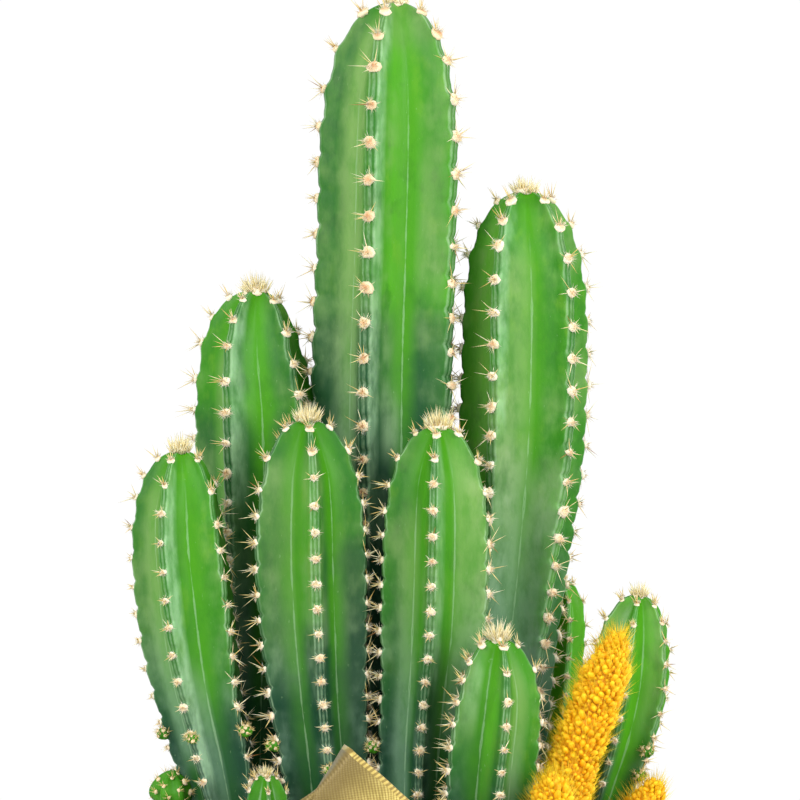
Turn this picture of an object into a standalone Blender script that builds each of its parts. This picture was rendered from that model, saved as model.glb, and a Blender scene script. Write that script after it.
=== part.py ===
"""A potted cactus: a cluster of ribbed column stems in a terracotta pot, with dried golden grass heads
among the stems and a gold ribbon with a bow round the pot.

Metres, +Z up. The front is -Y. The origin is the middle of the pot's underside.
"""
import math
import random

import bmesh
import bpy
import numpy as np
from mathutils import Vector
from mathutils.bvhtree import BVHTree

MM = 0.001
SEAT_GAP = 0.3 * MM  # between pieces that touch

# Pot, turned: a rim band over a tapered body
POT_HEIGHT = 160 * MM
POT_FOOT_RADIUS = 74 * MM
POT_BODY_TOP_RADIUS = 97 * MM
RIM_HEIGHT = 38 * MM
RIM_LOWER_RADIUS = 104 * MM
RIM_UPPER_RADIUS = 108 * MM
POT_WALL = 7 * MM
POT_FLOOR = 10 * MM
RIM_ROUND = 1.5 * MM
POT_STEPS = 36
DRAIN_HOLES = 4
DRAIN_HOLE_RADIUS = 6 * MM
DRAIN_CIRCLE_RADIUS = 38 * MM

# Soil
SOIL_TOP = 148 * MM
SOIL_CROWNING = 2.5 * MM  # how far its middle stands above its edge

# Stems. The crest is the outer edge of a rib, and the groove lies between two ribs.
GROOVE_SHARE = 0.6  # groove radius over crest radius
CREST_HALF_WIDTH = 1.5 * MM
CROWN_REACH = 2.4  # the crown rounds off over this many crest radii
ROW_SHARE = 1.15  # spacing of the areoles here over their measured spacing
CROWN_ROWS = (0.30, 0.80, 0.92)  # first row below the tip and the next two gaps, in spacings
NOTCH_SHARE = 0.045  # depth of the notch over each areole, over the crest radius
AREOLE_HALF_HEIGHT = 0.13  # of the spacing
WOOL_HEIGHT = 1.3 * MM
SPINE_LENGTH = 6.0 * MM
SHORTEST_SPINE = 1.6 * MM
SPINE_CLEARANCE = 0.4 * MM
NECK_SHARE = 0.55  # radius of the buried neck over the lowest crest radius
NECK_ABOVE_SOIL = 3 * MM
NECK_DEPTH = 30 * MM
ROWS_END_ABOVE_SOIL = 9 * MM

# Each stem: number of ribs, angle of its first rib (degrees from the front towards +X), spacing of the
# areoles at the crown and at the base in mm, the share of a spacing by which they step down from rib to
# rib, and its axis from the tip down as (x, y, z, crest radius) in mm
STEMS = {
    "cactus_stem_1": (5, -18, (15.6, 11.0), 0.87, (
        (-1.8, 30, 492, 30.8), (-2.4, 30, 432, 30.8), (-3.4, 30, 390, 30.6), (-5, 30, 340, 31.2),
        (-5.2, 30, 289, 31.2), (-5, 30, 206, 29), (-5, 30, 150, 24))),
    "cactus_stem_2": (5, -32, (14.1, 9.0), 0.45, (
        (51, 28, 415.5, 27), (52, 28, 359, 27), (50.5, 28, 308, 27), (47, 28, 263, 24),
        (43, 28, 220, 22), (40, 28, 150, 19))),
    "cactus_stem_3": (5, -26, (13.6, 10.0), 0.65, (
        (-59, 31, 375, 24), (-60.2, 31, 350, 24.6), (-58.6, 31, 325, 26), (-57.9, 31, 290, 26.2),
        (-58.5, 31, 240, 24), (-60, 31, 150, 17))),
    "cactus_stem_4": (5, -19, (11.6, 9.2), 0.15, (
        (-87, -14, 313, 19.3), (-86.7, -14, 276, 19.6), (-84.5, -14, 254, 20.4), (-81.8, -14, 231, 19.6),
        (-78.5, -14, 212, 17.8), (-74, -14, 192, 16.6), (-66, -14, 150, 13.5))),
    "cactus_stem_5": (5, 8, (10.9, 8.0), 0.85, (
        (-36.7, -17, 325.5, 22), (-36.2, -17, 299, 22.2), (-36, -17, 270, 22.9), (-34.7, -17, 240, 22),
        (-33.1, -17, 216, 20.2), (-30.5, -17, 189, 18.5), (-28, -18, 150, 15))),
    "cactus_stem_6": (5, -5.5, (10.4, 8.2), 0.25, (
        (15, -18, 323, 21.5), (15, -18, 297, 21.7), (14.6, -18, 270, 22), (13.5, -18, 242, 21.8),
        (11.5, -18, 219, 19.6), (9.5, -18, 195, 18.5), (8, -18, 150, 15))),
    "cactus_stem_7": (5, 13, (9.1, 8.4), 0.97, (
        (38, -50, 243.5, 18.2), (37, -50, 219, 18.4), (35, -50, 200, 18.6), (33.5, -50, 184, 18.4),
        (31, -50, 150, 14))),
    "cactus_stem_8": (5, 20, (8.0, 7.5), 0.4, (
        (67, 52, 253.5, 11), (67, 52, 238, 11), (66, 52, 218, 11), (61, 51, 150, 9))),
    "cactus_stem_9": (6, -9, (9.8, 8.2), 0.6, (
        (96.3, 0, 253.5, 16.8), (93.8, 0, 235, 17.2), (91.8, 0, 215, 17), (87.8, 0, 196, 16),
        (81.5, 0, 174, 13.6), (75, 0, 150, 11))),
    "cactus_pup": (5, 10, (5.4, 5.4), 0.5, (
        (-52.3, -39, 188.5, 9.6), (-52.3, -39, 178, 9.6), (-52, -39, 150, 8))),
}
FOOT_BUD_STEM = "cactus_stem_4"
FOOT_BUD_AT = (-90.6 * MM, -16 * MM, 177 * MM)
FOOT_BUD_RADIUS = 7.2 * MM

# Dried grass heads: axis from the foot of the stalk in the soil up to the tip as (x, y, z) in mm,
# the height where the stalk ends and the head begins, and the head's radius in mm
GOLDEN_HEADS = {
    "golden_head_1": (((60, -46, 130), (61, -46, 152), (64.5, -46, 184), (75.5, -46, 217),
                       (84.5, -46, 244)), 160, 10),
    "golden_head_2": (((55, -60, 130), (56, -61, 152), (57.5, -65, 176), (58.5, -66, 192.5)), 157, 8.4),
    "golden_head_3": (((78, -31, 130), (80, -31, 148), (91, -31, 167), (100.5, -31, 183)), 152, 8.4),
}
HEAD_SIDES = 8
STALK_RADIUS = 2.0 * MM
GRAIN_ROW_SPACING = 5.2 * MM
GRAIN_HEIGHT = 2.2 * MM
BRISTLE_LENGTH = 5.5 * MM
BRISTLE_BASE_SHARE = 0.22
BRISTLE_EVERY = 4

# Ribbon
RIBBON_WIDTH = 38 * MM
RIBBON_THICKNESS = 0.8 * MM
BAND_TOP = 112 * MM
KNOT_SIZE = (24 * MM, 13 * MM, 30 * MM)
KNOT_X = 8 * MM
LOOP_SEGMENTS = 18
TAIL_SEGMENTS = 8
# Each strip of the bow, from the knot: its centre line as (x, y, z) in mm, and the direction across the
# ribbon at evenly spaced places along it. The first loop stands up in front of the rim.
BOW_LOOPS = (
    (((6, -105, 103), (13, -116, 122), (11, -122, 148), (1, -122, 171), (-14, -119, 185),
      (-27, -116.5, 195.5), (-30, -114.8, 198), (-27.5, -113, 196), (-13, -111.8, 185),
      (2, -111.5, 170), (11, -111, 146), (12, -110.5, 124), (10, -105, 103)),
     ((0.95, 0, -0.3), (0.97, 0, 0.24), (0.66, 0, 0.75), (0.64, 0, 0.77), (0.66, 0, 0.75),
      (0.97, 0, 0.24), (0.95, 0, -0.3))),
    (((12, -105, 101), (36, -121, 108), (60, -122, 114), (76, -108, 113),
      (75, -100, 110), (58, -104, 104), (36, -109, 99), (12, -105, 99)),
     ((0, 0, 1), (0.05, 0, 1), (0.1, 0.1, 1), (0.05, 0, 1), (0, 0, 1))),
)
BOW_TAILS = (
    (((5, -105, 96), (-5, -113, 80), (-14, -108, 62), (-28, -111, 44), (-38, -104, 28)),
     ((0.95, 0, -0.3), (0.9, 0.2, -0.4), (0.85, -0.1, -0.5))),
    (((12, -105, 96), (24, -114, 80), (32, -108, 62), (46, -111, 48), (56, -102, 34)),
     ((0.95, 0, 0.3), (0.9, 0.2, 0.4), (0.8, -0.1, 0.6))),
)
NARROW_AT_KNOT = 0.45  # width of a gathered strip at the knot over its full width

# Colours (linear red, green, blue), roughness
MATERIALS = {
    "terracotta": ((0.50, 0.17, 0.08), 0.85),
    "soil": ((0.035, 0.022, 0.014), 0.95),
    "cactus_green": ((0.08, 0.30, 0.05), 0.5),
    "golden_grass": ((0.90, 0.44, 0.02), 0.7),
    "gold_ribbon": ((0.42, 0.30, 0.08), 0.55),
}


def clear_scene():
    for thing in list(bpy.data.objects):
        bpy.data.objects.remove(thing, do_unlink=True)


def new_collection(name):
    collection = bpy.data.collections.new(name)
    bpy.context.scene.collection.children.link(collection)
    return collection


def new_material(node, kind):
    colour, roughness = MATERIALS[kind]
    material = bpy.data.materials.new(f"{node}_{kind}")
    material.use_nodes = True
    shader = material.node_tree.nodes["Principled BSDF"]
    shader.inputs["Base Color"].default_value = (*colour, 1.0)
    shader.inputs["Roughness"].default_value = roughness
    return material


def mesh_object(name, vertices, faces, collection, kind=None):
    mesh = bpy.data.meshes.new(name)
    mesh.from_pydata([tuple(v) for v in vertices], [], faces)
    mesh.update()
    thing = bpy.data.objects.new(name, mesh)
    collection.objects.link(thing)
    if kind:
        mesh.materials.append(new_material(name, kind))
    return thing


def mark_cutter(thing):
    thing.hide_render = True
    thing.display_type = "WIRE"


def add_cone_cutter(name, radius, depth, centre, sides, turn, collection):
    """A straight-sided cutter with flat ends, turned about its own axis."""
    mesh = bpy.data.meshes.new(name)
    form = bmesh.new()
    bmesh.ops.create_cone(form, cap_ends=True, segments=sides, radius1=radius, radius2=radius, depth=depth)
    form.to_mesh(mesh)
    form.free()
    cutter = bpy.data.objects.new(name, mesh)
    cutter.location = centre
    cutter.rotation_euler = (0, 0, turn)
    collection.objects.link(cutter)
    mark_cutter(cutter)


def turned(name, profile, collection, kind):
    """A profile in the XZ plane, outer side top to bottom, turned once round Z by a Screw modifier."""
    mesh = bpy.data.meshes.new(name)
    edges = [(i, i + 1) for i in range(len(profile) - 1)]
    mesh.from_pydata([(r, 0.0, z) for r, z in profile], edges, [])
    thing = bpy.data.objects.new(name, mesh)
    collection.objects.link(thing)
    screw = thing.modifiers.new("turn", "SCREW")
    screw.steps = screw.render_steps = POT_STEPS
    screw.use_merge_vertices = True
    screw.merge_threshold = 0.00005
    mesh.materials.append(new_material(name, kind))
    return thing


def cut_with(thing, cutters):
    boolean = thing.modifiers.new("holes", "BOOLEAN")
    boolean.operation = "DIFFERENCE"
    boolean.operand_type = "COLLECTION"
    boolean.collection = cutters


def pot_outer_radius(z):
    """Radius of the tapered body below the rim."""
    share = z / (POT_HEIGHT - RIM_HEIGHT)
    return POT_FOOT_RADIUS + (POT_BODY_TOP_RADIUS - POT_FOOT_RADIUS) * share


def pot_inner_radius(z):
    """The inner wall runs straight from the floor to the lip."""
    floor_radius = POT_FOOT_RADIUS - POT_WALL
    lip_radius = RIM_UPPER_RADIUS - POT_WALL
    return floor_radius + (lip_radius - floor_radius) * (z - POT_FLOOR) / (POT_HEIGHT - POT_FLOOR)


def build_pot(collection, cutters):
    rim_bottom = POT_HEIGHT - RIM_HEIGHT
    profile = [
        (0.0, POT_FLOOR),
        (pot_inner_radius(POT_FLOOR), POT_FLOOR),
        (pot_inner_radius(POT_HEIGHT - RIM_ROUND), POT_HEIGHT - RIM_ROUND),
        (RIM_UPPER_RADIUS - POT_WALL + RIM_ROUND, POT_HEIGHT),
        (RIM_UPPER_RADIUS - RIM_ROUND, POT_HEIGHT),
        (RIM_UPPER_RADIUS, POT_HEIGHT - RIM_ROUND),
        (RIM_LOWER_RADIUS, rim_bottom + RIM_ROUND),
        (RIM_LOWER_RADIUS - RIM_ROUND, rim_bottom),
        (POT_BODY_TOP_RADIUS, rim_bottom),
        (pot_outer_radius(RIM_ROUND), RIM_ROUND),
        (POT_FOOT_RADIUS - RIM_ROUND, 0.0),
        (0.0, 0.0),
    ]
    pot = turned("pot", profile, collection, "terracotta")
    for hole in range(DRAIN_HOLES):
        angle = 2 * math.pi * (hole + 0.5) / DRAIN_HOLES
        centre = (DRAIN_CIRCLE_RADIUS * math.cos(angle), DRAIN_CIRCLE_RADIUS * math.sin(angle), POT_FLOOR / 2)
        add_cone_cutter(f"drain_cutter_{hole}", DRAIN_HOLE_RADIUS, POT_FLOOR * 2, centre, 10, 0.0, cutters)
    cut_with(pot, cutters)


def build_soil(collection, cutters):
    bottom = POT_FLOOR + SEAT_GAP
    edge = SOIL_TOP
    profile = [
        (0.0, edge + SOIL_CROWNING),
        (0.55 * pot_inner_radius(edge), edge + 0.7 * SOIL_CROWNING),
        (pot_inner_radius(edge) - SEAT_GAP, edge),
        (pot_inner_radius(bottom) - SEAT_GAP, bottom),
        (0.0, bottom),
    ]
    soil = turned("soil", profile, collection, "soil")
    cut_with(soil, cutters)


def smooth_between(knots, values, at):
    """Cubic Hermite curve through the values at rising knots, its slopes taken from the neighbours."""
    knots = np.asarray(knots, dtype=float)
    values = np.asarray(values, dtype=float)
    slopes = np.gradient(values, knots, axis=0)
    at = np.clip(at, knots[0], knots[-1])
    i = int(np.clip(np.searchsorted(knots, at) - 1, 0, len(knots) - 2))
    span = knots[i + 1] - knots[i]
    u = (at - knots[i]) / span
    return (
        (2 * u**3 - 3 * u**2 + 1) * values[i]
        + (u**3 - 2 * u**2 + u) * span * slopes[i]
        + (3 * u**2 - 2 * u**3) * values[i + 1]
        + (u**3 - u**2) * span * slopes[i + 1]
    )


class Stem:
    """One ribbed stem: a loft of crest and groove points, row by row, from its tip to its neck."""

    def __init__(self, name, ribs, first_rib, spacing, step_down, stations):
        self.name = name
        self.ribs = ribs
        self.first_rib = math.radians(first_rib)
        self.spacing = [s * MM * ROW_SHARE for s in spacing]
        self.step_down = step_down
        self.stations = np.array(stations[::-1], dtype=float) * MM
        self.tip = self.stations[-1][2]
        self.base = self.stations[0]
        self.neck_radius = NECK_SHARE * self.base[3] / 0.8
        self.vertices = []
        self.faces = []
        self.areoles = []
        self.build()

    def axis(self, z):
        """Axis point and full crest radius at height z; above the tip the axis runs on straight up."""
        return smooth_between(self.stations[:, 2], self.stations, z)

    def frame(self, z):
        """Two unit vectors across the axis at height z: towards +X and towards the back."""
        step = 2 * MM
        ahead = self.axis(min(z + step, self.tip))[:3]
        behind = self.axis(max(z - step, self.base[2]))[:3]
        along = Vector(ahead - behind).normalized()
        across = (Vector((1, 0, 0)) - along * along.x).normalized()
        return across, along.cross(across)

    def crest_radius(self, z):
        full = self.axis(z)[3]
        down = min((self.tip - z) / (full * CROWN_REACH), 1.0)
        return full * math.sqrt(max(1 - (1 - down) ** 3, 0.0))

    def rib_angle(self, rib):
        return self.first_rib + 2 * math.pi * rib / self.ribs

    def rib_phase(self, rib):
        """How far this rib's areoles sit below the row's own height, between half a spacing up or down."""
        phase = (rib * self.step_down) % 1.0
        return phase - 1.0 if phase > 0.5 else phase

    def rows(self):
        """Heights and spacings of the areole rows, from the tip down."""
        top, bottom = self.spacing
        lowest = SOIL_TOP + ROWS_END_ABOVE_SOIL + 0.5 * bottom
        z = self.tip - CROWN_ROWS[0] * top
        found = []
        while z > lowest:
            down = (self.tip - z) / (self.tip - SOIL_TOP)
            spacing = top + (bottom - top) * down
            crowding = CROWN_ROWS[len(found) + 1] if len(found) + 1 < len(CROWN_ROWS) else 1.0
            found.append((z, spacing))
            z -= spacing * crowding
        return found

    def point(self, z, angle, radius, sideways=0.0):
        """A point at an angle and radius round the axis, moved sideways along the skin."""
        centre = Vector(self.axis(z)[:3])
        across, back = self.frame(z)
        outward = across * math.sin(angle) - back * math.cos(angle)
        side = across * math.cos(angle) + back * math.sin(angle)
        self.vertices.append(centre + outward * radius + side * sideways)
        return len(self.vertices) - 1

    def build(self):
        rows = self.rows()
        count = len(rows)
        corners = []
        grooves = []
        for row, (z_row, spacing) in enumerate(rows):
            fade = min(row / 2, 1.0, (count - 1 - row) / 2)
            corners.append([])
            for rib in range(self.ribs):
                z = z_row - fade * self.rib_phase(rib) * spacing
                half = AREOLE_HALF_HEIGHT * spacing
                corner = []
                for height, notch in ((z + half, NOTCH_SHARE), (z - half, 0.0)):
                    radius = self.crest_radius(height) * (1 - notch)
                    width = min(CREST_HALF_WIDTH, 0.3 * radius)
                    for side in (-1, 1):
                        corner.append(self.point(height, self.rib_angle(rib), radius, side * width))
                corners[-1].append(corner)
            grooves.append([])
            for rib in range(self.ribs):
                next_phase = self.rib_phase((rib + 1) % self.ribs)
                z = z_row - fade * spacing * (self.rib_phase(rib) + next_phase) / 2
                angle = self.rib_angle(rib) + math.pi / self.ribs
                grooves[-1].append(self.point(z, angle, GROOVE_SHARE * self.crest_radius(z)))
        self.join_rows(corners, grooves)
        self.join_tip(corners[0], grooves[0])
        self.join_neck(corners[-1], grooves[-1])

    def join_rows(self, corners, grooves):
        """Flanks, the crest between areoles, and the areoles, which are filled in later."""
        for row, row_corners in enumerate(corners):
            for rib, (al, ar, bl, br) in enumerate(row_corners):
                right = grooves[row][rib]
                left = grooves[row][rib - 1]
                self.faces += [(ar, br, right), (al, left, bl)]
                self.add_areole(al, bl, br, ar)
                if row + 1 == len(corners):
                    continue
                next_al, next_ar = corners[row + 1][rib][:2]
                next_right = grooves[row + 1][rib]
                next_left = grooves[row + 1][rib - 1]
                self.faces += [
                    (bl, next_al, next_ar, br),
                    (br, next_ar, next_right, right),
                    (left, next_left, next_al, bl),
                ]

    def add_areole(self, al, bl, br, ar):
        """A low cushion on the crest: the middle of four corners, raised by the wool's height."""
        a, b, c, d = (self.vertices[i] for i in (al, bl, br, ar))
        middle = (a + b + c + d) / 4
        outward = (b - a).cross(d - a).normalized()
        self.vertices.append(middle + outward * WOOL_HEIGHT * min(1.0, (d - a).length / CREST_HALF_WIDTH))
        top = len(self.vertices) - 1
        self.areoles.append(((al, bl, top), (br, ar, top), (bl, br, top), (ar, al, top), outward))

    def join_tip(self, corners, grooves):
        self.vertices.append(Vector(self.axis(self.tip)[:3]))
        tip = len(self.vertices) - 1
        for rib, (al, ar, _, _) in enumerate(corners):
            next_al = corners[(rib + 1) % self.ribs][0]
            self.faces += [(tip, al, ar), (tip, ar, grooves[rib]), (tip, grooves[rib], next_al)]

    def join_neck(self, corners, grooves):
        """The ribs run out into a plain round neck, which stands in the soil."""
        rings = []
        for z in (SOIL_TOP + SOIL_CROWNING + NECK_ABOVE_SOIL, SOIL_TOP - NECK_DEPTH + SEAT_GAP):
            ring = []
            for side in range(2 * self.ribs):
                angle = self.first_rib + math.pi * side / self.ribs
                self.vertices.append(Vector((
                    self.base[0] + self.neck_radius * math.sin(angle),
                    self.base[1] - self.neck_radius * math.cos(angle),
                    z,
                )))
                ring.append(len(self.vertices) - 1)
            rings.append(ring)
        upper, lower = rings
        for rib, (_, _, bl, br) in enumerate(corners):
            crest, groove, before = upper[2 * rib], upper[2 * rib + 1], upper[2 * rib - 1]
            self.faces += [
                (bl, crest, br),
                (br, crest, groove, grooves[rib]),
                (grooves[rib - 1], before, crest, bl),
            ]
        sides = len(upper)
        for side in range(sides):
            after = (side + 1) % sides
            self.faces.append((upper[side], lower[side], lower[after], upper[after]))
        self.faces.append(tuple(reversed(lower)))

    def bare_tree(self):
        """Search tree over the skin without its spines."""
        flat = [facet for areole in self.areoles for facet in areole[:4]]
        return BVHTree.FromPolygons(self.vertices, self.faces + flat)

    def grow_spines(self, own, others, draw):
        """Raise spines from the cushions' facets: left, right and, on every other areole, down. A spine is
        shortened until its point is nearer to its own stem than to any other piece."""
        for number, areole in enumerate(self.areoles):
            outward = areole[4]
            for side, facet in enumerate(areole[:4]):
                spined = side < 2 or (side == 2 and number % 3 == 0)
                tip = self.spine_tip(facet, outward, own, others, draw) if spined else None
                if tip is None:
                    self.faces.append(facet)
                    continue
                self.vertices.append(tip)
                point = len(self.vertices) - 1
                a, b, c = facet
                self.faces += [(a, b, point), (b, c, point), (c, a, point)]

    def spine_tip(self, facet, outward, own, others, draw):
        a, b, c = (self.vertices[i] for i in facet)
        middle = (a + b + c) / 3
        splay = (middle - (self.vertices[facet[2]] - outward * WOOL_HEIGHT))
        splay = (splay - outward * splay.dot(outward)).normalized()
        tilt = draw.uniform(0.75, 1.15)
        direction = (outward + splay * tilt + Vector((0, 0, draw.uniform(-0.25, 0.15)))).normalized()
        length = SPINE_LENGTH * draw.uniform(0.8, 1.15)
        while length > SHORTEST_SPINE:
            tip = middle + direction * length
            to_own = own.find_nearest(tip)[3]
            to_others = min(tree.find_nearest(tip)[3] for tree in others)
            if to_own + SPINE_CLEARANCE < to_others:
                return tip
            length *= 0.75
        return None


def build_stems(collection, soil_cutters, fixed_trees):
    stems = {name: Stem(name, *spec) for name, spec in STEMS.items()}
    trees = {name: stem.bare_tree() for name, stem in stems.items()}
    draw = random.Random(7)
    for name, stem in stems.items():
        others = [tree for other, tree in trees.items() if other != name] + fixed_trees
        stem.grow_spines(trees[name], others, draw)
        thing = mesh_object(name, stem.vertices, stem.faces, collection, "cactus_green")
        thing.data.set_sharp_from_angle(angle=math.radians(35))
        sides = 2 * stem.ribs
        add_cone_cutter(
            f"{name}_hole", stem.neck_radius + SEAT_GAP / math.cos(math.pi / sides), 2 * NECK_DEPTH,
            (stem.base[0], stem.base[1], SOIL_TOP), sides, stem.first_rib, soil_cutters)
    add_foot_bud(collection)
    return list(trees.values())


def add_foot_bud(collection):
    """The bud on the foot of the left front stem, joined to it in one body."""
    buds = new_collection("buds")
    mesh = bpy.data.meshes.new("foot_bud")
    form = bmesh.new()
    bmesh.ops.create_icosphere(form, subdivisions=2, radius=FOOT_BUD_RADIUS)
    form.to_mesh(mesh)
    form.free()
    bud = bpy.data.objects.new("foot_bud", mesh)
    bud.location = FOOT_BUD_AT
    buds.objects.link(bud)
    join_collection(collection.objects[FOOT_BUD_STEM], buds)


def join_collection(thing, others, solver="EXACT"):
    """Join all the objects of a collection to one body by a Boolean union, then remove them."""
    union = thing.modifiers.new("join", "BOOLEAN")
    union.operation = "UNION"
    union.solver = solver
    union.operand_type = "COLLECTION"
    union.collection = others
    graph = bpy.context.evaluated_depsgraph_get()
    joined = bpy.data.meshes.new_from_object(thing.evaluated_get(graph))
    thing.modifiers.clear()
    thing.data = joined
    for other in list(others.objects):
        bpy.data.objects.remove(other, do_unlink=True)
    bpy.data.collections.remove(others)


class GoldenHead:
    """A dried grass head on its stalk: rings along a bent axis, with grains raised from its surface in a
    checker pattern and slim bristles on some of them."""

    def __init__(self, name, axis, head_start, radius):
        self.name = name
        self.axis_points = np.array(axis, dtype=float) * MM
        self.head_start = head_start * MM
        self.radius = radius * MM
        self.tip = self.axis_points[-1][2]
        self.vertices = []
        self.faces = []
        self.build(random.Random(name))

    def centre(self, z):
        return Vector(smooth_between(self.axis_points[:, 2], self.axis_points, z))

    def head_radius(self, z):
        """Swells from the stalk over the first fifth and tapers off over the last third."""
        share = (z - self.head_start) / (self.tip - self.head_start)
        swell = math.sin(math.pi / 2 * min(share / 0.2, 1.0))
        taper = (1 - max((share - 0.65) / 0.35, 0.0) ** 2) ** 0.8
        return STALK_RADIUS + (self.radius - GRAIN_HEIGHT - STALK_RADIUS) * swell * max(taper, 0.2)

    def ring(self, z, radius):
        centre = self.centre(z)
        ids = []
        for side in range(HEAD_SIDES):
            angle = 2 * math.pi * side / HEAD_SIDES
            self.vertices.append(centre + Vector((math.cos(angle), math.sin(angle), 0)) * radius)
            ids.append(len(self.vertices) - 1)
        return ids

    def build(self, draw):
        rows = max(round((self.tip - self.head_start) / GRAIN_ROW_SPACING), 3)
        heights = np.linspace(self.head_start, self.tip - 1.5 * MM, rows)
        stalk = [self.ring(self.axis_points[0][2], STALK_RADIUS), self.ring(SOIL_TOP + 3 * MM, STALK_RADIUS)]
        head = [self.ring(z, self.head_radius(z)) for z in heights]
        for lower, upper in zip(stalk, stalk[1:] + head[:1]):
            for side in range(HEAD_SIDES):
                after = (side + 1) % HEAD_SIDES
                self.faces.append((lower[side], lower[after], upper[after], upper[side]))
        grain = 0
        for row in range(len(head) - 1):
            for side in range(HEAD_SIDES):
                after = (side + 1) % HEAD_SIDES
                quad = (head[row][side], head[row][after], head[row + 1][after], head[row + 1][side])
                if (row + side) % 2:
                    self.faces.append(quad)
                    continue
                grain += 1
                self.raise_grain(quad, grain % BRISTLE_EVERY == 0, draw)
        self.vertices.append(self.centre(self.tip))
        tip = len(self.vertices) - 1
        for side in range(HEAD_SIDES):
            self.faces.append((head[-1][side], head[-1][(side + 1) % HEAD_SIDES], tip))
        self.faces.append(tuple(reversed(stalk[0])))

    def raise_grain(self, quad, bristled, draw):
        corners = [self.vertices[i] for i in quad]
        middle = sum(corners, Vector()) / 4
        outward = (corners[1] - corners[0]).cross(corners[3] - corners[0]).normalized()
        self.vertices.append(middle + outward * GRAIN_HEIGHT)
        top = len(self.vertices) - 1
        for i in range(4):
            facet = (quad[i], quad[(i + 1) % 4], top)
            if bristled and i == 2:
                self.raise_bristle(facet, outward, draw)
            else:
                self.faces.append(facet)

    def raise_bristle(self, facet, outward, draw):
        """Inset the facet to a slim base and draw that out to a point."""
        corners = [self.vertices[i] for i in facet]
        middle = sum(corners, Vector()) / 3
        direction = (outward + Vector((0, 0, 0.9)) + Vector((draw.uniform(-0.2, 0.2), 0, 0))).normalized()
        first = len(self.vertices)
        for corner in corners:
            self.vertices.append(middle + (corner - middle) * BRISTLE_BASE_SHARE)
        self.vertices.append(middle + direction * BRISTLE_LENGTH)
        point = first + 3
        for i in range(3):
            after = (i + 1) % 3
            self.faces.append((facet[i], facet[after], first + after, first + i))
            self.faces.append((first + i, first + after, point))


def build_golden_heads(collection, soil_cutters):
    heads = [GoldenHead(name, *spec) for name, spec in GOLDEN_HEADS.items()]
    for head in heads:
        mesh_object(head.name, head.vertices, head.faces, collection, "golden_grass")
        x, y, foot = head.axis_points[0]
        top = SOIL_TOP + 8 * MM
        at_soil = head.centre(SOIL_TOP)
        middle = (Vector((x, y, 0)) + at_soil) / 2
        wander = (Vector((at_soil.x - x, at_soil.y - y, 0))).length
        radius = STALK_RADIUS + SEAT_GAP + wander
        depth = 2 * (top - foot + SEAT_GAP)
        add_cone_cutter(f"{head.name}_hole", radius, depth, (middle.x, middle.y, top), 8, 0.0, soil_cutters)
    return [BVHTree.FromPolygons(head.vertices, head.faces) for head in heads]


def strip(name, points, across_at, width_shares, collection):
    """A ribbon strip with its thickness: a box section carried along a smooth line through the points."""
    points = np.array(points, dtype=float) * MM
    knots = np.arange(len(points))
    segments = len(width_shares) - 1
    sections = []
    for i, width_share in enumerate(width_shares):
        at = i / segments * knots[-1]
        centre = Vector(smooth_between(knots, points, at))
        ahead = Vector(smooth_between(knots, points, min(at + 0.05, knots[-1])))
        behind = Vector(smooth_between(knots, points, max(at - 0.05, 0)))
        along = (ahead - behind).normalized()
        across = Vector(smooth_between(np.linspace(0, 1, len(across_at)), across_at, i / segments))
        across = (across - along * across.dot(along)).normalized()
        normal = along.cross(across)
        half_width = across * RIBBON_WIDTH * width_share / 2
        half_thick = normal * RIBBON_THICKNESS / 2
        sections.append([
            centre - half_width - half_thick, centre + half_width - half_thick,
            centre + half_width + half_thick, centre - half_width + half_thick,
        ])
    vertices = [corner for section in sections for corner in section]
    faces = [(0, 1, 2, 3), tuple(4 * segments + i for i in (3, 2, 1, 0))]
    for i in range(segments):
        for side in range(4):
            after = (side + 1) % 4
            faces.append((4 * i + side, 4 * (i + 1) + side, 4 * (i + 1) + after, 4 * i + after))
    thing = mesh_object(name, vertices, faces, collection)
    point_faces_outwards(thing)


def point_faces_outwards(thing):
    form = bmesh.new()
    form.from_mesh(thing.data)
    bmesh.ops.recalc_face_normals(form, faces=form.faces)
    form.to_mesh(thing.data)
    form.free()


def build_ribbon_band(collection):
    """A flat strip round the tapered body, turned with the pot."""
    low = BAND_TOP - RIBBON_WIDTH
    inside = [(pot_outer_radius(z) + SEAT_GAP * 1.1, z) for z in (low, BAND_TOP)]
    outside = [(r + RIBBON_THICKNESS, z) for r, z in inside]
    profile = [inside[1], outside[1], outside[0], inside[0], inside[1]]
    turned("ribbon_band", profile, collection, "gold_ribbon")


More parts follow.
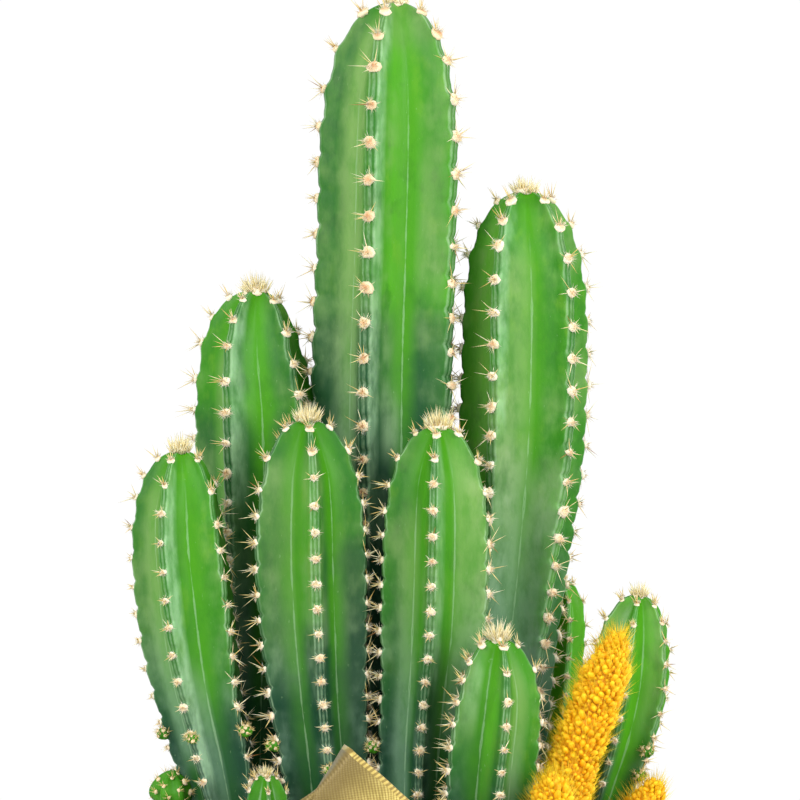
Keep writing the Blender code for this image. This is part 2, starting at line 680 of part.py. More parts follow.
def build_ribbon_bow(collection):
    """Two loops and two tails that leave a gathered knot, joined in one body."""
    knot_depth = KNOT_SIZE[1]
    band_front = pot_outer_radius(BAND_TOP) + RIBBON_THICKNESS + 2 * SEAT_GAP
    knot_z = BAND_TOP - RIBBON_WIDTH / 2 + 6 * MM
    mesh = bpy.data.meshes.new("ribbon_bow")
    form = bmesh.new()
    bmesh.ops.create_cube(form, size=1.0)
    bmesh.ops.scale(form, vec=KNOT_SIZE, verts=form.verts)
    bmesh.ops.translate(form, vec=(KNOT_X, -band_front - knot_depth / 2, knot_z), verts=form.verts)
    bmesh.ops.bevel(form, geom=form.edges[:], offset=3 * MM, segments=1, affect="EDGES")
    form.to_mesh(mesh)
    form.free()
    bow = bpy.data.objects.new("ribbon_bow", mesh)
    collection.objects.link(bow)
    strips = new_collection("bow_strips")
    for i, (points, across_at) in enumerate(BOW_LOOPS):
        shares = [
            NARROW_AT_KNOT + (1 - NARROW_AT_KNOT) * math.sin(math.pi * step / LOOP_SEGMENTS) ** 0.7
            for step in range(LOOP_SEGMENTS + 1)
        ]
        strip(f"loop_{i}", points, across_at, shares, strips)
    for i, (points, across_at) in enumerate(BOW_TAILS):
        shares = [
            NARROW_AT_KNOT + (1 - NARROW_AT_KNOT) * min(2.5 * step / TAIL_SEGMENTS, 1.0)
            for step in range(TAIL_SEGMENTS + 1)
        ]
        strip(f"tail_{i}", points, across_at, shares, strips)
    join_collection(bow, strips, solver="MANIFOLD")
    bow.data.materials.clear()
    bow.data.materials.append(new_material("ribbon_bow", "gold_ribbon"))


def pot_tree():
    """Search tree over the lip of the pot, which leaning stems keep their spines off."""
    sides = 24
    rings = []
    for radius in (RIM_UPPER_RADIUS - POT_WALL, RIM_UPPER_RADIUS):
        rings.append([
            Vector((radius * math.cos(2 * math.pi * i / sides), radius * math.sin(2 * math.pi * i / sides),
                    POT_HEIGHT))
            for i in range(sides)
        ])
    vertices = rings[0] + rings[1]
    faces = [(i, (i + 1) % sides, sides + (i + 1) % sides, sides + i) for i in range(sides)]
    return BVHTree.FromPolygons(vertices, faces)


def main():
    clear_scene()
    parts = new_collection("potted_cactus")
    drain_cutters = new_collection("drain_cutters")
    soil_cutters = new_collection("soil_cutters")
    build_pot(parts, drain_cutters)
    head_trees = build_golden_heads(parts, soil_cutters)
    build_stems(parts, soil_cutters, head_trees + [pot_tree()])
    build_soil(parts, soil_cutters)
    build_ribbon_band(parts)
    build_ribbon_bow(parts)


main()
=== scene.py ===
"""The looks of a potted cactus, laid out as an add-on: a cluster of ribbed column stems with woolly areoles
and spines, dried golden grass heads, peat soil, a terracotta pot and a gold grosgrain ribbon with a bow.
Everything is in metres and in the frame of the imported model; the front is -Y."""
import math

import bpy
import numpy as np
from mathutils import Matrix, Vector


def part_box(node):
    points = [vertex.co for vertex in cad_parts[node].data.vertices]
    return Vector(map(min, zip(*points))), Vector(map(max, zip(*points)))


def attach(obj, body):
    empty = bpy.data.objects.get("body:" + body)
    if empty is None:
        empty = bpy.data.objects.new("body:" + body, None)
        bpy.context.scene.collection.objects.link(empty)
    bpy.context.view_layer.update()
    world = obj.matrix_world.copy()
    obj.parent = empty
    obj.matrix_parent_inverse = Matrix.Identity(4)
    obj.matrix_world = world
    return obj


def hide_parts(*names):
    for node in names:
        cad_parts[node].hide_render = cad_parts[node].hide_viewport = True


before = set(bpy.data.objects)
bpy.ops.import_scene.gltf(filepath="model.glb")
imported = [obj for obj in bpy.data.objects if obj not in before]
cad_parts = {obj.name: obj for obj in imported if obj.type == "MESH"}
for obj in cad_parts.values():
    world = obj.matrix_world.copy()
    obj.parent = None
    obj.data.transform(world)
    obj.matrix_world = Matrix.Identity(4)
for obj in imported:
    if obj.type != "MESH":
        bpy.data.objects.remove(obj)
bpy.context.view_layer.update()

bl_info = {
    "name": "Potted Cactus",
    "version": (1, 0, 0),
    "blender": (4, 5, 0),
    "location": "View3D > Sidebar > Cactus",
    "description": "Grows a potted cluster of column cacti with dried grass heads and a ribbon",
    "category": "Add Mesh",
}

MM = 0.001
BODY = "root"
GOLDEN_ANGLE = math.radians(137.508)
# Primes that mix a lattice cell and a seed into a random number
HASH_PRIMES = np.array((73856093, 19349663, 83492791))
SEED_PRIME, MIX_PRIME = 961748927, 1274126177

# How fine the meshes are: points round a circle, across a strip, or down and round a ball
POT_SIDES, SOIL_SIDES, BAND_SIDES, STALK_SIDES, HOLE_SIDES, FLOOR_SIDES = 112, 160, 360, 12, 24, 96
SOIL_RINGS, STALK_RINGS, STRIP_COLUMNS, BAND_COLUMNS, CORNER_STEPS = 60, 40, 25, 9, 4
BUD_BALL, PAD_BALL, CRUMB_BALL, GRAIN_BALL, KNOT_BALL = (16, 24), (4, 9), (2, 5), (3, 7), (40, 64)

# Pot and soil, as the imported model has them
POT_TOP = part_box("pot")[1].z
RIM_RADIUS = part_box("pot")[1].x
POT_FOOT_RADIUS = 74 * MM
POT_BODY_TOP_RADIUS = 97 * MM
RIM_HEIGHT = 38 * MM
RIM_LOWER_RADIUS = 104 * MM
POT_WALL = 7 * MM
POT_FLOOR = 10 * MM
DRAIN_HOLES = 4
DRAIN_HOLE_RADIUS = 6 * MM
DRAIN_CIRCLE_RADIUS = 38 * MM
SOIL_TOP = 148 * MM
SEAT_GAP = 0.3 * MM

# Stems. The crest is the outer edge of a rib, and the groove lies between two ribs. Radius of the grooves
# as a share of the crests', on the stem and on the neck that stands in the soil
GROOVE_SHARE, NECK_GROOVE_SHARE = 0.6, 0.97
# Radius at the foot and at the neck, as shares of the stem's
FOOT_SHARE, NECK_SHARE = 0.8, 0.55
# Height of the crown, swelling of the flanks and half width of the crest, in crest radii
CROWN_REACH, FLANK_BULGE, CREST_SHARE = 2.4, 0.05, 0.075
# Depth of the first row of areoles and the first steps below it, in spacings
CROWN_ROWS = (0.30, 0.80, 0.92)
# Half of the crest's section, from its middle to where the flank starts: depth and offset in half widths
CREST_PROFILE = ((0.10, 0.0), (0.0, 0.32), (0.04, 0.62), (0.16, 0.9), (0.40, 1.14))
FLANK_PLACES = np.array((0.0, 0.13, 0.33, 0.58, 0.82, 1.0))
SPINE_WAIST = 0.75
LONG_SPINES, BUD_SPINES, TUFT_SPINES, TUFT_HAIRS = 5, 11, 190, 90

# Each stem: angle of its first rib (degrees from the front towards +X), spacing of the areoles at the crown
# and at the base in mm, how far each rib's areoles sit below the rows, in spacings, how yellow its green is
# from 0 to 1, and its axis from the tip down as (x, y, z, crest radius) in mm
STEMS = {
    "cactus_stem_1": (-18, (15.6, 11.0), (-0.27, -0.47, -0.5, 0.35, 0.28), 0.35, (
        (-1.8, 30, 492, 30.8), (-2.4, 30, 432, 30.8), (-3.4, 30, 390, 30.6), (-5, 30, 340, 31.2),
        (-5.2, 30, 289, 31.2), (-5, 30, 206, 29), (-5, 30, 150, 24))),
    "cactus_stem_2": (-32, (14.1, 8.3), (-0.48, -0.04, -0.1, 0.35, -0.2), 0.30, (
        (51, 28, 415.5, 27), (52, 28, 359, 27), (50.5, 28, 308, 27), (47, 28, 263, 24),
        (43, 28, 220, 22), (40, 28, 150, 19))),
    "cactus_stem_3": (-26, (13.6, 8.8), (-0.38, 0.25, 0.3, -0.05, -0.4), 0.40, (
        (-59, 31, 375, 24), (-60.2, 31, 350, 24.6), (-58.6, 31, 325, 26), (-57.9, 31, 290, 26.2),
        (-58.5, 31, 240, 24), (-60, 31, 150, 17))),
    "cactus_stem_4": (-19, (11.6, 9.2), (0, 0.47, 0.3, 0.45, -0.4), 0.45, (
        (-87, -14, 313, 19.3), (-86.7, -14, 276, 19.6), (-84.5, -14, 254, 20.4), (-81.8, -14, 231, 19.6),
        (-78.5, -14, 212, 17.8), (-74, -14, 192, 16.6), (-66, -14, 150, 13.5))),
    "cactus_stem_5": (8, (10.9, 8.0), (-0.03, 0.06, -0.3, -0.45, 0.48), 0.60, (
        (-36.7, -17, 325.5, 22), (-36.2, -17, 299, 22.2), (-36, -17, 270, 22.9), (-34.7, -17, 240, 22),
        (-33.1, -17, 216, 20.2), (-30.5, -17, 189, 18.5), (-28, -18, 150, 15))),
    "cactus_stem_6": (-5.5, (10.4, 8.2), (0.04, 0.44, -0.5, -0.25, 0.22), 0.60, (
        (15, -18, 323, 21.5), (15, -18, 297, 21.7), (14.6, -18, 270, 22), (13.5, -18, 242, 21.8),
        (11.5, -18, 219, 19.6), (9.5, -18, 195, 18.5), (8, -18, 150, 15))),
    "cactus_stem_7": (13, (9.1, 8.4), (0.4, 0.37, -0.06, -0.09, -0.28), 0.55, (
        (38, -50, 243.5, 18.2), (37, -50, 219, 18.4), (35, -50, 200, 18.6), (33.5, -50, 184, 18.4),
        (31, -50, 150, 14))),
    "cactus_stem_8": (20, (8.0, 7.5), (0, 0.4, -0.2, 0.2, -0.4), 0.90, (
        (67, 52, 253.5, 11), (67, 52, 238, 11), (66, 52, 218, 11), (61, 51, 150, 9))),
    "cactus_stem_9": (-9, (9.8, 8.2), (0, -0.4, 0.2, -0.2, 0.4, 0), 1.0, (
        (96.3, 0, 253.5, 16.8), (93.8, 0, 235, 17.2), (91.8, 0, 215, 17), (87.8, 0, 196, 16),
        (81.5, 0, 174, 13.6), (75, 0, 150, 11))),
    "cactus_pup": (10, (5.4, 5.4), (0, 0.5, 0, 0.5, 0), 0.30, (
        (-52.3, -39, 188.5, 9.6), (-52.3, -39, 178, 9.6), (-52, -39, 150, 8))),
}
PUP = 10

# Marks on the skin, by kind: number of the stem, angle of the middle and half its width in degrees, lowest
# and highest in mm, strength. Flanks with thick wax bloom carry a painted sheen and, where shaded, painted
# light. Strips beside a crest are a painted highlight. Painted shade darkens the skin where the stems shade
# each other and low down among them. Painted light brightens and yellows skin where light reaches it from
# two sides, and skin that grew lately is brighter and yellower too.
MARKS = {
    # Thick wax bloom, partly a painted sheen, and painted light on some shaded flanks
    "bloomed_and_sheen": (
        (1, -54, 26, 300, 485, 0.68), (1, 5, 14, 308, 330, 0.6), (1, 38, 12, 375, 430, 0.35),
        (1, 20, 70, 472, 495, 0.3), (2, -12, 22, 218, 318, 0.62), (2, -9, 18, 318, 390, 0.42),
        (2, -72, 30, 300, 410, 0.3), (2, 22, 20, 200, 300, 0.5), (3, -52, 26, 200, 350, 0.48),
        (4, -58, 26, 190, 300, 0.50), (4, 0, 26, 150, 225, 0.35), (5, -40, 24, 220, 310, 0.22),
        (5, 60, 22, 160, 280, 0.1), (6, -48, 22, 160, 290, 0.40), (6, 48, 22, 200, 315, 0.45),
        (7, 50, 24, 160, 235, 0.5), (7, -48, 12, 205, 232, 0.3), (9, -60, 38, 200, 250, 0.5),
        (9, 52, 30, 200, 250, 0.25)),
    # Painted highlights beside the crests
    "painted_highlight": (
        (1, -11, 4, 300, 485, 0.38), (2, -25, 4, 320, 405, 0.4), (3, -18.5, 4.5, 290, 368, 0.5),
        (4, -11, 6, 180, 305, 0.55), (6, 3, 5, 220, 318, 0.25), (7, -46, 8, 214, 236, 0.2),
        (9, -40, 18, 200, 250, 0.3)),
    "corky": (
        (1, 84, 16, 330, 385, 0.6), (2, 62, 16, 205, 252, 0.7), (2, -82, 8, 330, 355, 0.25),
        (9, -30, 14, 160, 182, 0.3)),
    # Painted shade where the stems shade each other and low down among them
    "darkened": (
        (1, 0, 180, 150, 368, 0.65), (1, -92, 30, 300, 500, 0.4), (1, 60, 40, 380, 490, 0.3),
        (3, 10, 180, 150, 326, 0.60), (3, 20, 60, 330, 380, 0.4), (4, -78, 48, 180, 312, 0.4),
        (4, 0, 180, 150, 215, 0.35), (5, -55, 34, 150, 322, 0.52), (5, 50, 44, 150, 282, 0.8),
        (5, 0, 180, 150, 330, 0.42), (5, 0, 55, 150, 250, 0.8), (6, -40, 50, 150, 330, 0.38),
        (6, 0, 180, 150, 235, 0.3), (7, -25, 60, 150, 240, 0.32), (PUP, 0, 180, 150, 195, 0.3)),
    # Painted light, and skin that grew lately
    "fresh_and_lit": (
        (1, 26, 26, 380, 480, 0.25), (1, 66, 30, 280, 480, 0.4), (1, 2, 12, 330, 480, 0.5),
        (2, -66, 38, 150, 410, 0.7), (2, 50, 26, 225, 300, 0.8), (3, 8, 24, 320, 370, 0.5),
        (5, 0, 16, 235, 310, 0.5), (6, -22, 14, 230, 310, 0.5), (7, -8, 14, 160, 235, 0.7),
        (8, 0, 180, 150, 260, 0.8), (9, 20, 24, 170, 250, 0.7)),
}
# Young buds that sprout from areoles: number of the stem, place in mm and radius in mm
BUDS = (
    (4, (-90.6, -16, 177), 7.2), (4, (-94.2, -15, 200), 2.3), (4, (-61, -26.5, 203), 2.3),
    (4, (-81.8, -32, 201), 2.0), (5, (-50, -26, 197), 2.4), (6, (-10.6, -23, 196), 2.4),
    (5, (-27.6, -36.3, 189), 2.0), (7, (16.5, -60, 180), 2.4), (9, (98.9, -10.5, 192), 2.3),
    (9, (96, -10.5, 182), 2.2),
)

# Dried grass heads: axis from the foot of the stalk up to the tip as (x, y, z) in mm, the height where
# the head begins and its radius in mm
GOLDEN_HEADS = {
    "golden_head_1": (((60, -46, 130), (61, -46, 152), (64.5, -46, 184), (75.5, -46, 217),
                       (84.5, -46, 244)), 160, 10),
    "golden_head_2": (((55, -60, 130), (56, -61, 152), (57.5, -65, 176), (58.5, -66, 192.5)), 157, 8.4),
    "golden_head_3": (((78, -31, 130), (80, -31, 148), (91, -31, 167), (100.5, -31, 183)), 152, 8.4),
}
STALK_RADIUS = 1.6 * MM
BRISTLES = 4

# Ribbon. Each strip of the bow, from the knot: its centre line as (x, y, z) in mm, and the direction
# across the ribbon at evenly spaced places along it
RIBBON_WIDTH = 38 * MM
SELVAGE_WIDTH = 1.9 * MM
STITCH_LENGTH = 1.8 * MM
BAND_TOP = 112 * MM
BAND_MIDDLE = BAND_TOP - RIBBON_WIDTH / 2
KNOT_SIZE = (24 * MM, 13 * MM, 30 * MM)
KNOT_X = 8 * MM
BOW_STRIPS = {
    "ribbon_loop_up": (
        ((6, -105, 103), (13, -116, 122), (11, -122, 148), (1, -122, 171), (-14, -119, 185),
         (-27, -116.5, 195.5), (-30, -114.8, 198), (-28.5, -113, 195), (-15, -111.8, 182.5),
         (0, -111.5, 167.5), (9.5, -111, 144), (12, -110.5, 124), (10, -105, 103)),
        ((0.95, 0, -0.3), (0.97, 0, 0.24), (0.66, 0, 0.75), (0.64, 0, 0.77), (0.66, 0, 0.75),
         (0.97, 0, 0.24), (0.95, 0, -0.3)), "both ends"),
    "ribbon_loop_side": (
        ((12, -105, 101), (36, -121, 108), (60, -122, 114), (76, -108, 113),
         (75, -100, 110), (58, -104, 104), (36, -109, 99), (12, -105, 99)),
        ((0, 0, 1), (0.05, 0, 1), (0.1, 0.1, 1), (0.05, 0, 1), (0, 0, 1)), "both ends"),
    "ribbon_tail_left": (
        ((5, -105, 96), (-5, -113, 80), (-14, -108, 62), (-28, -111, 44), (-38, -104, 28)),
        ((0.95, 0, -0.3), (0.9, 0.2, -0.4), (0.85, -0.1, -0.5)), "start"),
    "ribbon_tail_right": (
        ((12, -105, 96), (24, -114, 80), (32, -108, 62), (46, -111, 48), (56, -102, 34)),
        ((0.95, 0, 0.3), (0.9, 0.2, 0.4), (0.8, -0.1, 0.6)), "start"),
}
NARROW_AT_KNOT = 0.45
PLEATS = 3
# Cosine and sine of the lean of the cords on the bow
CORD_LEAN = (0.74, 0.67)

# Camera: it stands in front, a little above the middle of what the photograph shows
VIEW_HEIGHT = 332 * MM
VIEW_DISTANCE = 1.2
VIEW_ELEVATION = math.radians(4)
VIEW_WIDTH = 320 * MM
SENSOR_WIDTH = 36.0
FLOOR_RADIUS = 0.72


def linear(hex_colour):
    """sRGB hex colour to linear red, green and blue."""
    srgb = [int(hex_colour[i:i + 2], 16) / 255 for i in (1, 3, 5)]
    return tuple(c / 12.92 if c <= 0.04045 else ((c + 0.055) / 1.055) ** 2.4 for c in srgb)


def rgba(colour):
    """A hex colour, or one that is linear already, with full alpha."""
    return (*(linear(colour) if isinstance(colour, str) else colour), 1.0)


# Arrays and meshes

def smooth_between(knots, values, at):
    """Cubic Hermite curve through the values at rising knots, its slopes taken from the neighbours, at a
    whole array of places."""
    knots, values = np.asarray(knots, float), np.asarray(values, float)
    slopes = np.gradient(values, knots, axis=0)
    at = np.clip(np.asarray(at, float), knots[0], knots[-1])
    i = np.clip(np.searchsorted(knots, at) - 1, 0, len(knots) - 2)
    span = (knots[i + 1] - knots[i])[..., None]
    u = (at - knots[i])[..., None] / span
    return (
        (2 * u**3 - 3 * u**2 + 1) * values[i] + (u**3 - 2 * u**2 + u) * span * slopes[i]
        + (3 * u**2 - 2 * u**3) * values[i + 1] + (u**3 - u**2) * span * slopes[i + 1])


def smooth_step(low, high, value):
    """3 u squared - 2 u cubed of the share u between low and high, held at 0 below and 1 above."""
    share = np.clip((value - low) / (high - low), 0, 1)
    return share * share * (3 - 2 * share)


def unit(vectors):
    """The vectors at length 1."""
    return vectors / np.maximum(np.linalg.norm(vectors, axis=-1, keepdims=True), 1e-12)


def turns(count):
    """Evenly spaced angles round a circle."""
    return 2 * np.pi * np.arange(count) / count


def polar(turn, radius=1.0, z=0.0):
    """Points at these angles and radii about the z axis, and at these heights."""
    return np.stack(np.broadcast_arrays(radius * np.cos(turn), radius * np.sin(turn), z), axis=-1)


def travelled(points):
    """Length along a line of points, up to each of them."""
    return np.concatenate(([0], np.cumsum(np.linalg.norm(np.diff(points, axis=0), axis=1))))


def value_noise(points, spacing, seed):
    """Smooth noise from -1 to 1: random values on a lattice of the given spacing, blended between the
    eight corners of each cell."""
    lattice = points / spacing
    cell = np.floor(lattice).astype(np.int64)
    u = lattice - cell
    u = u * u * (3 - 2 * u)
    total = np.zeros(points.shape[:-1])
    for corner in np.ndindex(2, 2, 2):
        mixed = np.bitwise_xor.reduce((cell + corner) * HASH_PRIMES, axis=-1) ^ (seed * SEED_PRIME)
        mixed = ((mixed ^ (mixed >> 13)) * MIX_PRIME) & 0xFFFFFFFF
        value = ((mixed ^ (mixed >> 16)) & 0xFFFF) / 32767.5 - 1
        total += value * np.prod(np.where(corner, u, 1 - u), axis=-1)
    return total


def tube(grid, poles, quads=False):
    """Points and faces of a grid that closes round its columns, with a pole before its first row and one
    after its last. Rows run down and columns anticlockwise, seen from above, so that the faces point
    outwards. The faces are triangles, or quads and the triangles at the poles."""
    rows, columns = grid.shape[:2]
    index = np.arange(rows * columns).reshape(rows, columns)
    after = np.roll(index, -1, axis=1)
    squares = np.stack((index[:-1], index[1:], after[1:], after[:-1]), axis=-1).reshape(-1, 4)
    top = np.full(columns, rows * columns)
    caps = np.concatenate((
        np.stack((top, index[0], after[0]), axis=-1), np.stack((top + 1, after[-1], index[-1]), axis=-1)))
    points = np.concatenate((grid.reshape(-1, 3), poles))
    if quads:
        return points, (squares, caps)
    return points, np.concatenate((squares[:, (0, 1, 2)], squares[:, (0, 2, 3)], caps))


def unit_ball(rings, around):
    """A ball of radius 1 on a coarse grid of latitude and longitude."""
    down = np.pi * (np.arange(rings) + 1)[:, None] / (rings + 1)
    return tube(polar(turns(around), np.sin(down), np.cos(down)), ((0, 0, 1), (0, 0, -1)))


def copies(shape, places, axes, tone):
    """Copies of a small shape, as points, triangles and a tone for every point: each point goes along the
    copy's own three axis vectors from its place."""
    points, faces = shape
    placed = places[:, None] + np.einsum("pk,nkc->npc", points, axes)
    offsets = len(points) * np.arange(len(places))
    tone = np.repeat(np.broadcast_to(tone, len(places)), len(points))
    return placed.reshape(-1, 3), (faces + offsets[:, None, None]).reshape(-1, 3), tone


def axes_about(directions, thickness, length):
    """For each direction, three axis vectors: two across it, of the thickness, and one along it."""
    helper = np.where(np.abs(directions[:, 2:3]) < 0.9, (0.0, 0.0, 1.0), (1.0, 0.0, 0.0))
    across = unit(np.cross(helper, directions))
    sizes = np.stack(np.broadcast_arrays(thickness, thickness, length), axis=-1)
    return np.stack((across, np.cross(directions, across), directions), axis=1) * sizes[..., None]


def needles(foot, way, thickness, length, tone, waist=None):
    """Three-sided needles that narrow to a point; with a waist, they have that share of their foot's
    thickness halfway up."""
    circle = polar(turns(3))
    grid = np.stack((circle * (waist, waist, 1) + (0, 0, 0.5), circle) if waist else (circle,))
    return copies(tube(grid, ((0, 0, 1), (0, 0, 0))), foot, axes_about(way, thickness, length), tone)


def joined(*blocks):
    """Several blocks of points, triangles and tones as one."""
    points, faces, tones = zip(*blocks)
    starts = np.cumsum([0] + [len(block) for block in points[:-1]])
    faces = np.concatenate([block + start for block, start in zip(faces, starts)])
    return np.concatenate(points), faces, np.concatenate(tones)


def new_object(name, mesh):
    """An object at the origin, unturned and unscaled, in the scene."""
    made = bpy.data.objects.new(name, mesh)
    bpy.context.scene.collection.objects.link(made)
    return made


def new_piece(name, block, material, slot, replaced=(), **attributes):
    """A piece of the object from whole arrays, riding on the one body. A block has points, faces and, if
    its material follows them, tones. Faces are one array of triangles, or quads and triangles. Each
    attribute holds a number or a vector for every point."""
    points, faces, *tones = block
    attributes.update({"tone": tone for tone in tones})
    blocks = faces if isinstance(faces, tuple) else (faces,)
    corners = np.concatenate([part.ravel() for part in blocks])
    counts = np.concatenate([np.full(len(part), part.shape[1]) for part in blocks])
    mesh = bpy.data.meshes.new(name)
    mesh.vertices.add(len(points))
    mesh.vertices.foreach_set("co", np.asarray(points, np.float32).ravel())
    mesh.loops.add(len(corners))
    mesh.loops.foreach_set("vertex_index", corners.astype(np.int32))
    mesh.polygons.add(len(counts))
    mesh.polygons.foreach_set("loop_start", np.concatenate(([0], np.cumsum(counts)[:-1])).astype(np.int32))
    mesh.update(calc_edges=True)
    mesh.shade_smooth()
    for key, values in attributes.items():
        values = np.asarray(values, np.float32)
        kind, field = ("FLOAT_VECTOR", "vector") if values.ndim == 2 else ("FLOAT", "value")
        mesh.attributes.new(key, kind, "POINT").data.foreach_set(field, values.ravel())
    mesh.materials.append(material)
    piece = new_object(name, mesh)
    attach(piece, BODY)
    if replaced:
        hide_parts(*replaced)
    return piece


# Materials

def add_node(tree, kind, inputs=(), output=0, **settings):
    """Add a shader node and return one of its output sockets. inputs, in the order of its sockets or by
    their names, are values or the output sockets to link. settings are the node's own properties."""
    made = tree.nodes.new("ShaderNode" + kind)
    for key, value in settings.items():
        setattr(made, key, value)
    for socket, value in inputs.items() if isinstance(inputs, dict) else enumerate(inputs):
        if isinstance(value, bpy.types.NodeSocket):
            tree.links.new(value, made.inputs[socket])
        else:
            made.inputs[socket].default_value = value
    return made.outputs[output]


def new_material(name, constants):
    """A material and its node tree, with constants set on the shader's sockets."""
    material = bpy.data.materials.new(name)
    material.use_nodes = True
    for socket, value in constants.items():
        material.node_tree.nodes["Principled BSDF"].inputs[socket].default_value = value
    return material, material.node_tree


def linked(material, outputs):
    """The material, with output sockets linked to its shader's sockets."""
    tree = material.node_tree
    for socket, value in outputs.items():
        tree.links.new(value, tree.nodes["Principled BSDF"].inputs[socket])
    return material


def product(tree, *factors):
    """The product of factors, each an output socket or a smooth ramp: a value, where the ramp starts and
    ends, and what it is there."""
    total = None
    for factor in factors:
        if isinstance(factor, tuple):
            factor = add_node(tree, "MapRange", factor, interpolation_type="SMOOTHSTEP")
        total = factor if total is None else add_node(tree, "Math", (total, factor), operation="MULTIPLY")
    return total


def layered(tree, colour, *layers):
    """A colour with others laid over it in turn. Each layer is a colour and the factors of its share."""
    for over, *factors in layers:
        colour = add_node(tree, "Mix", {"Factor": product(tree, *factors), "A": colour, "B": over}, "Result",
                          data_type="RGBA")
    return colour


def toned(tree, tone, stops):
    """The colour at a tone, between stops from 0 to 1 with hex colours."""
    colour = add_node(tree, "ValToRGB", (tone,))
    elements = colour.node.color_ramp.elements
    while len(elements) < len(stops):
        elements.new(0.5)
    for element, (place, stop) in zip(elements, stops):
        element.position = place
        element.color = rgba(stop)
    return colour


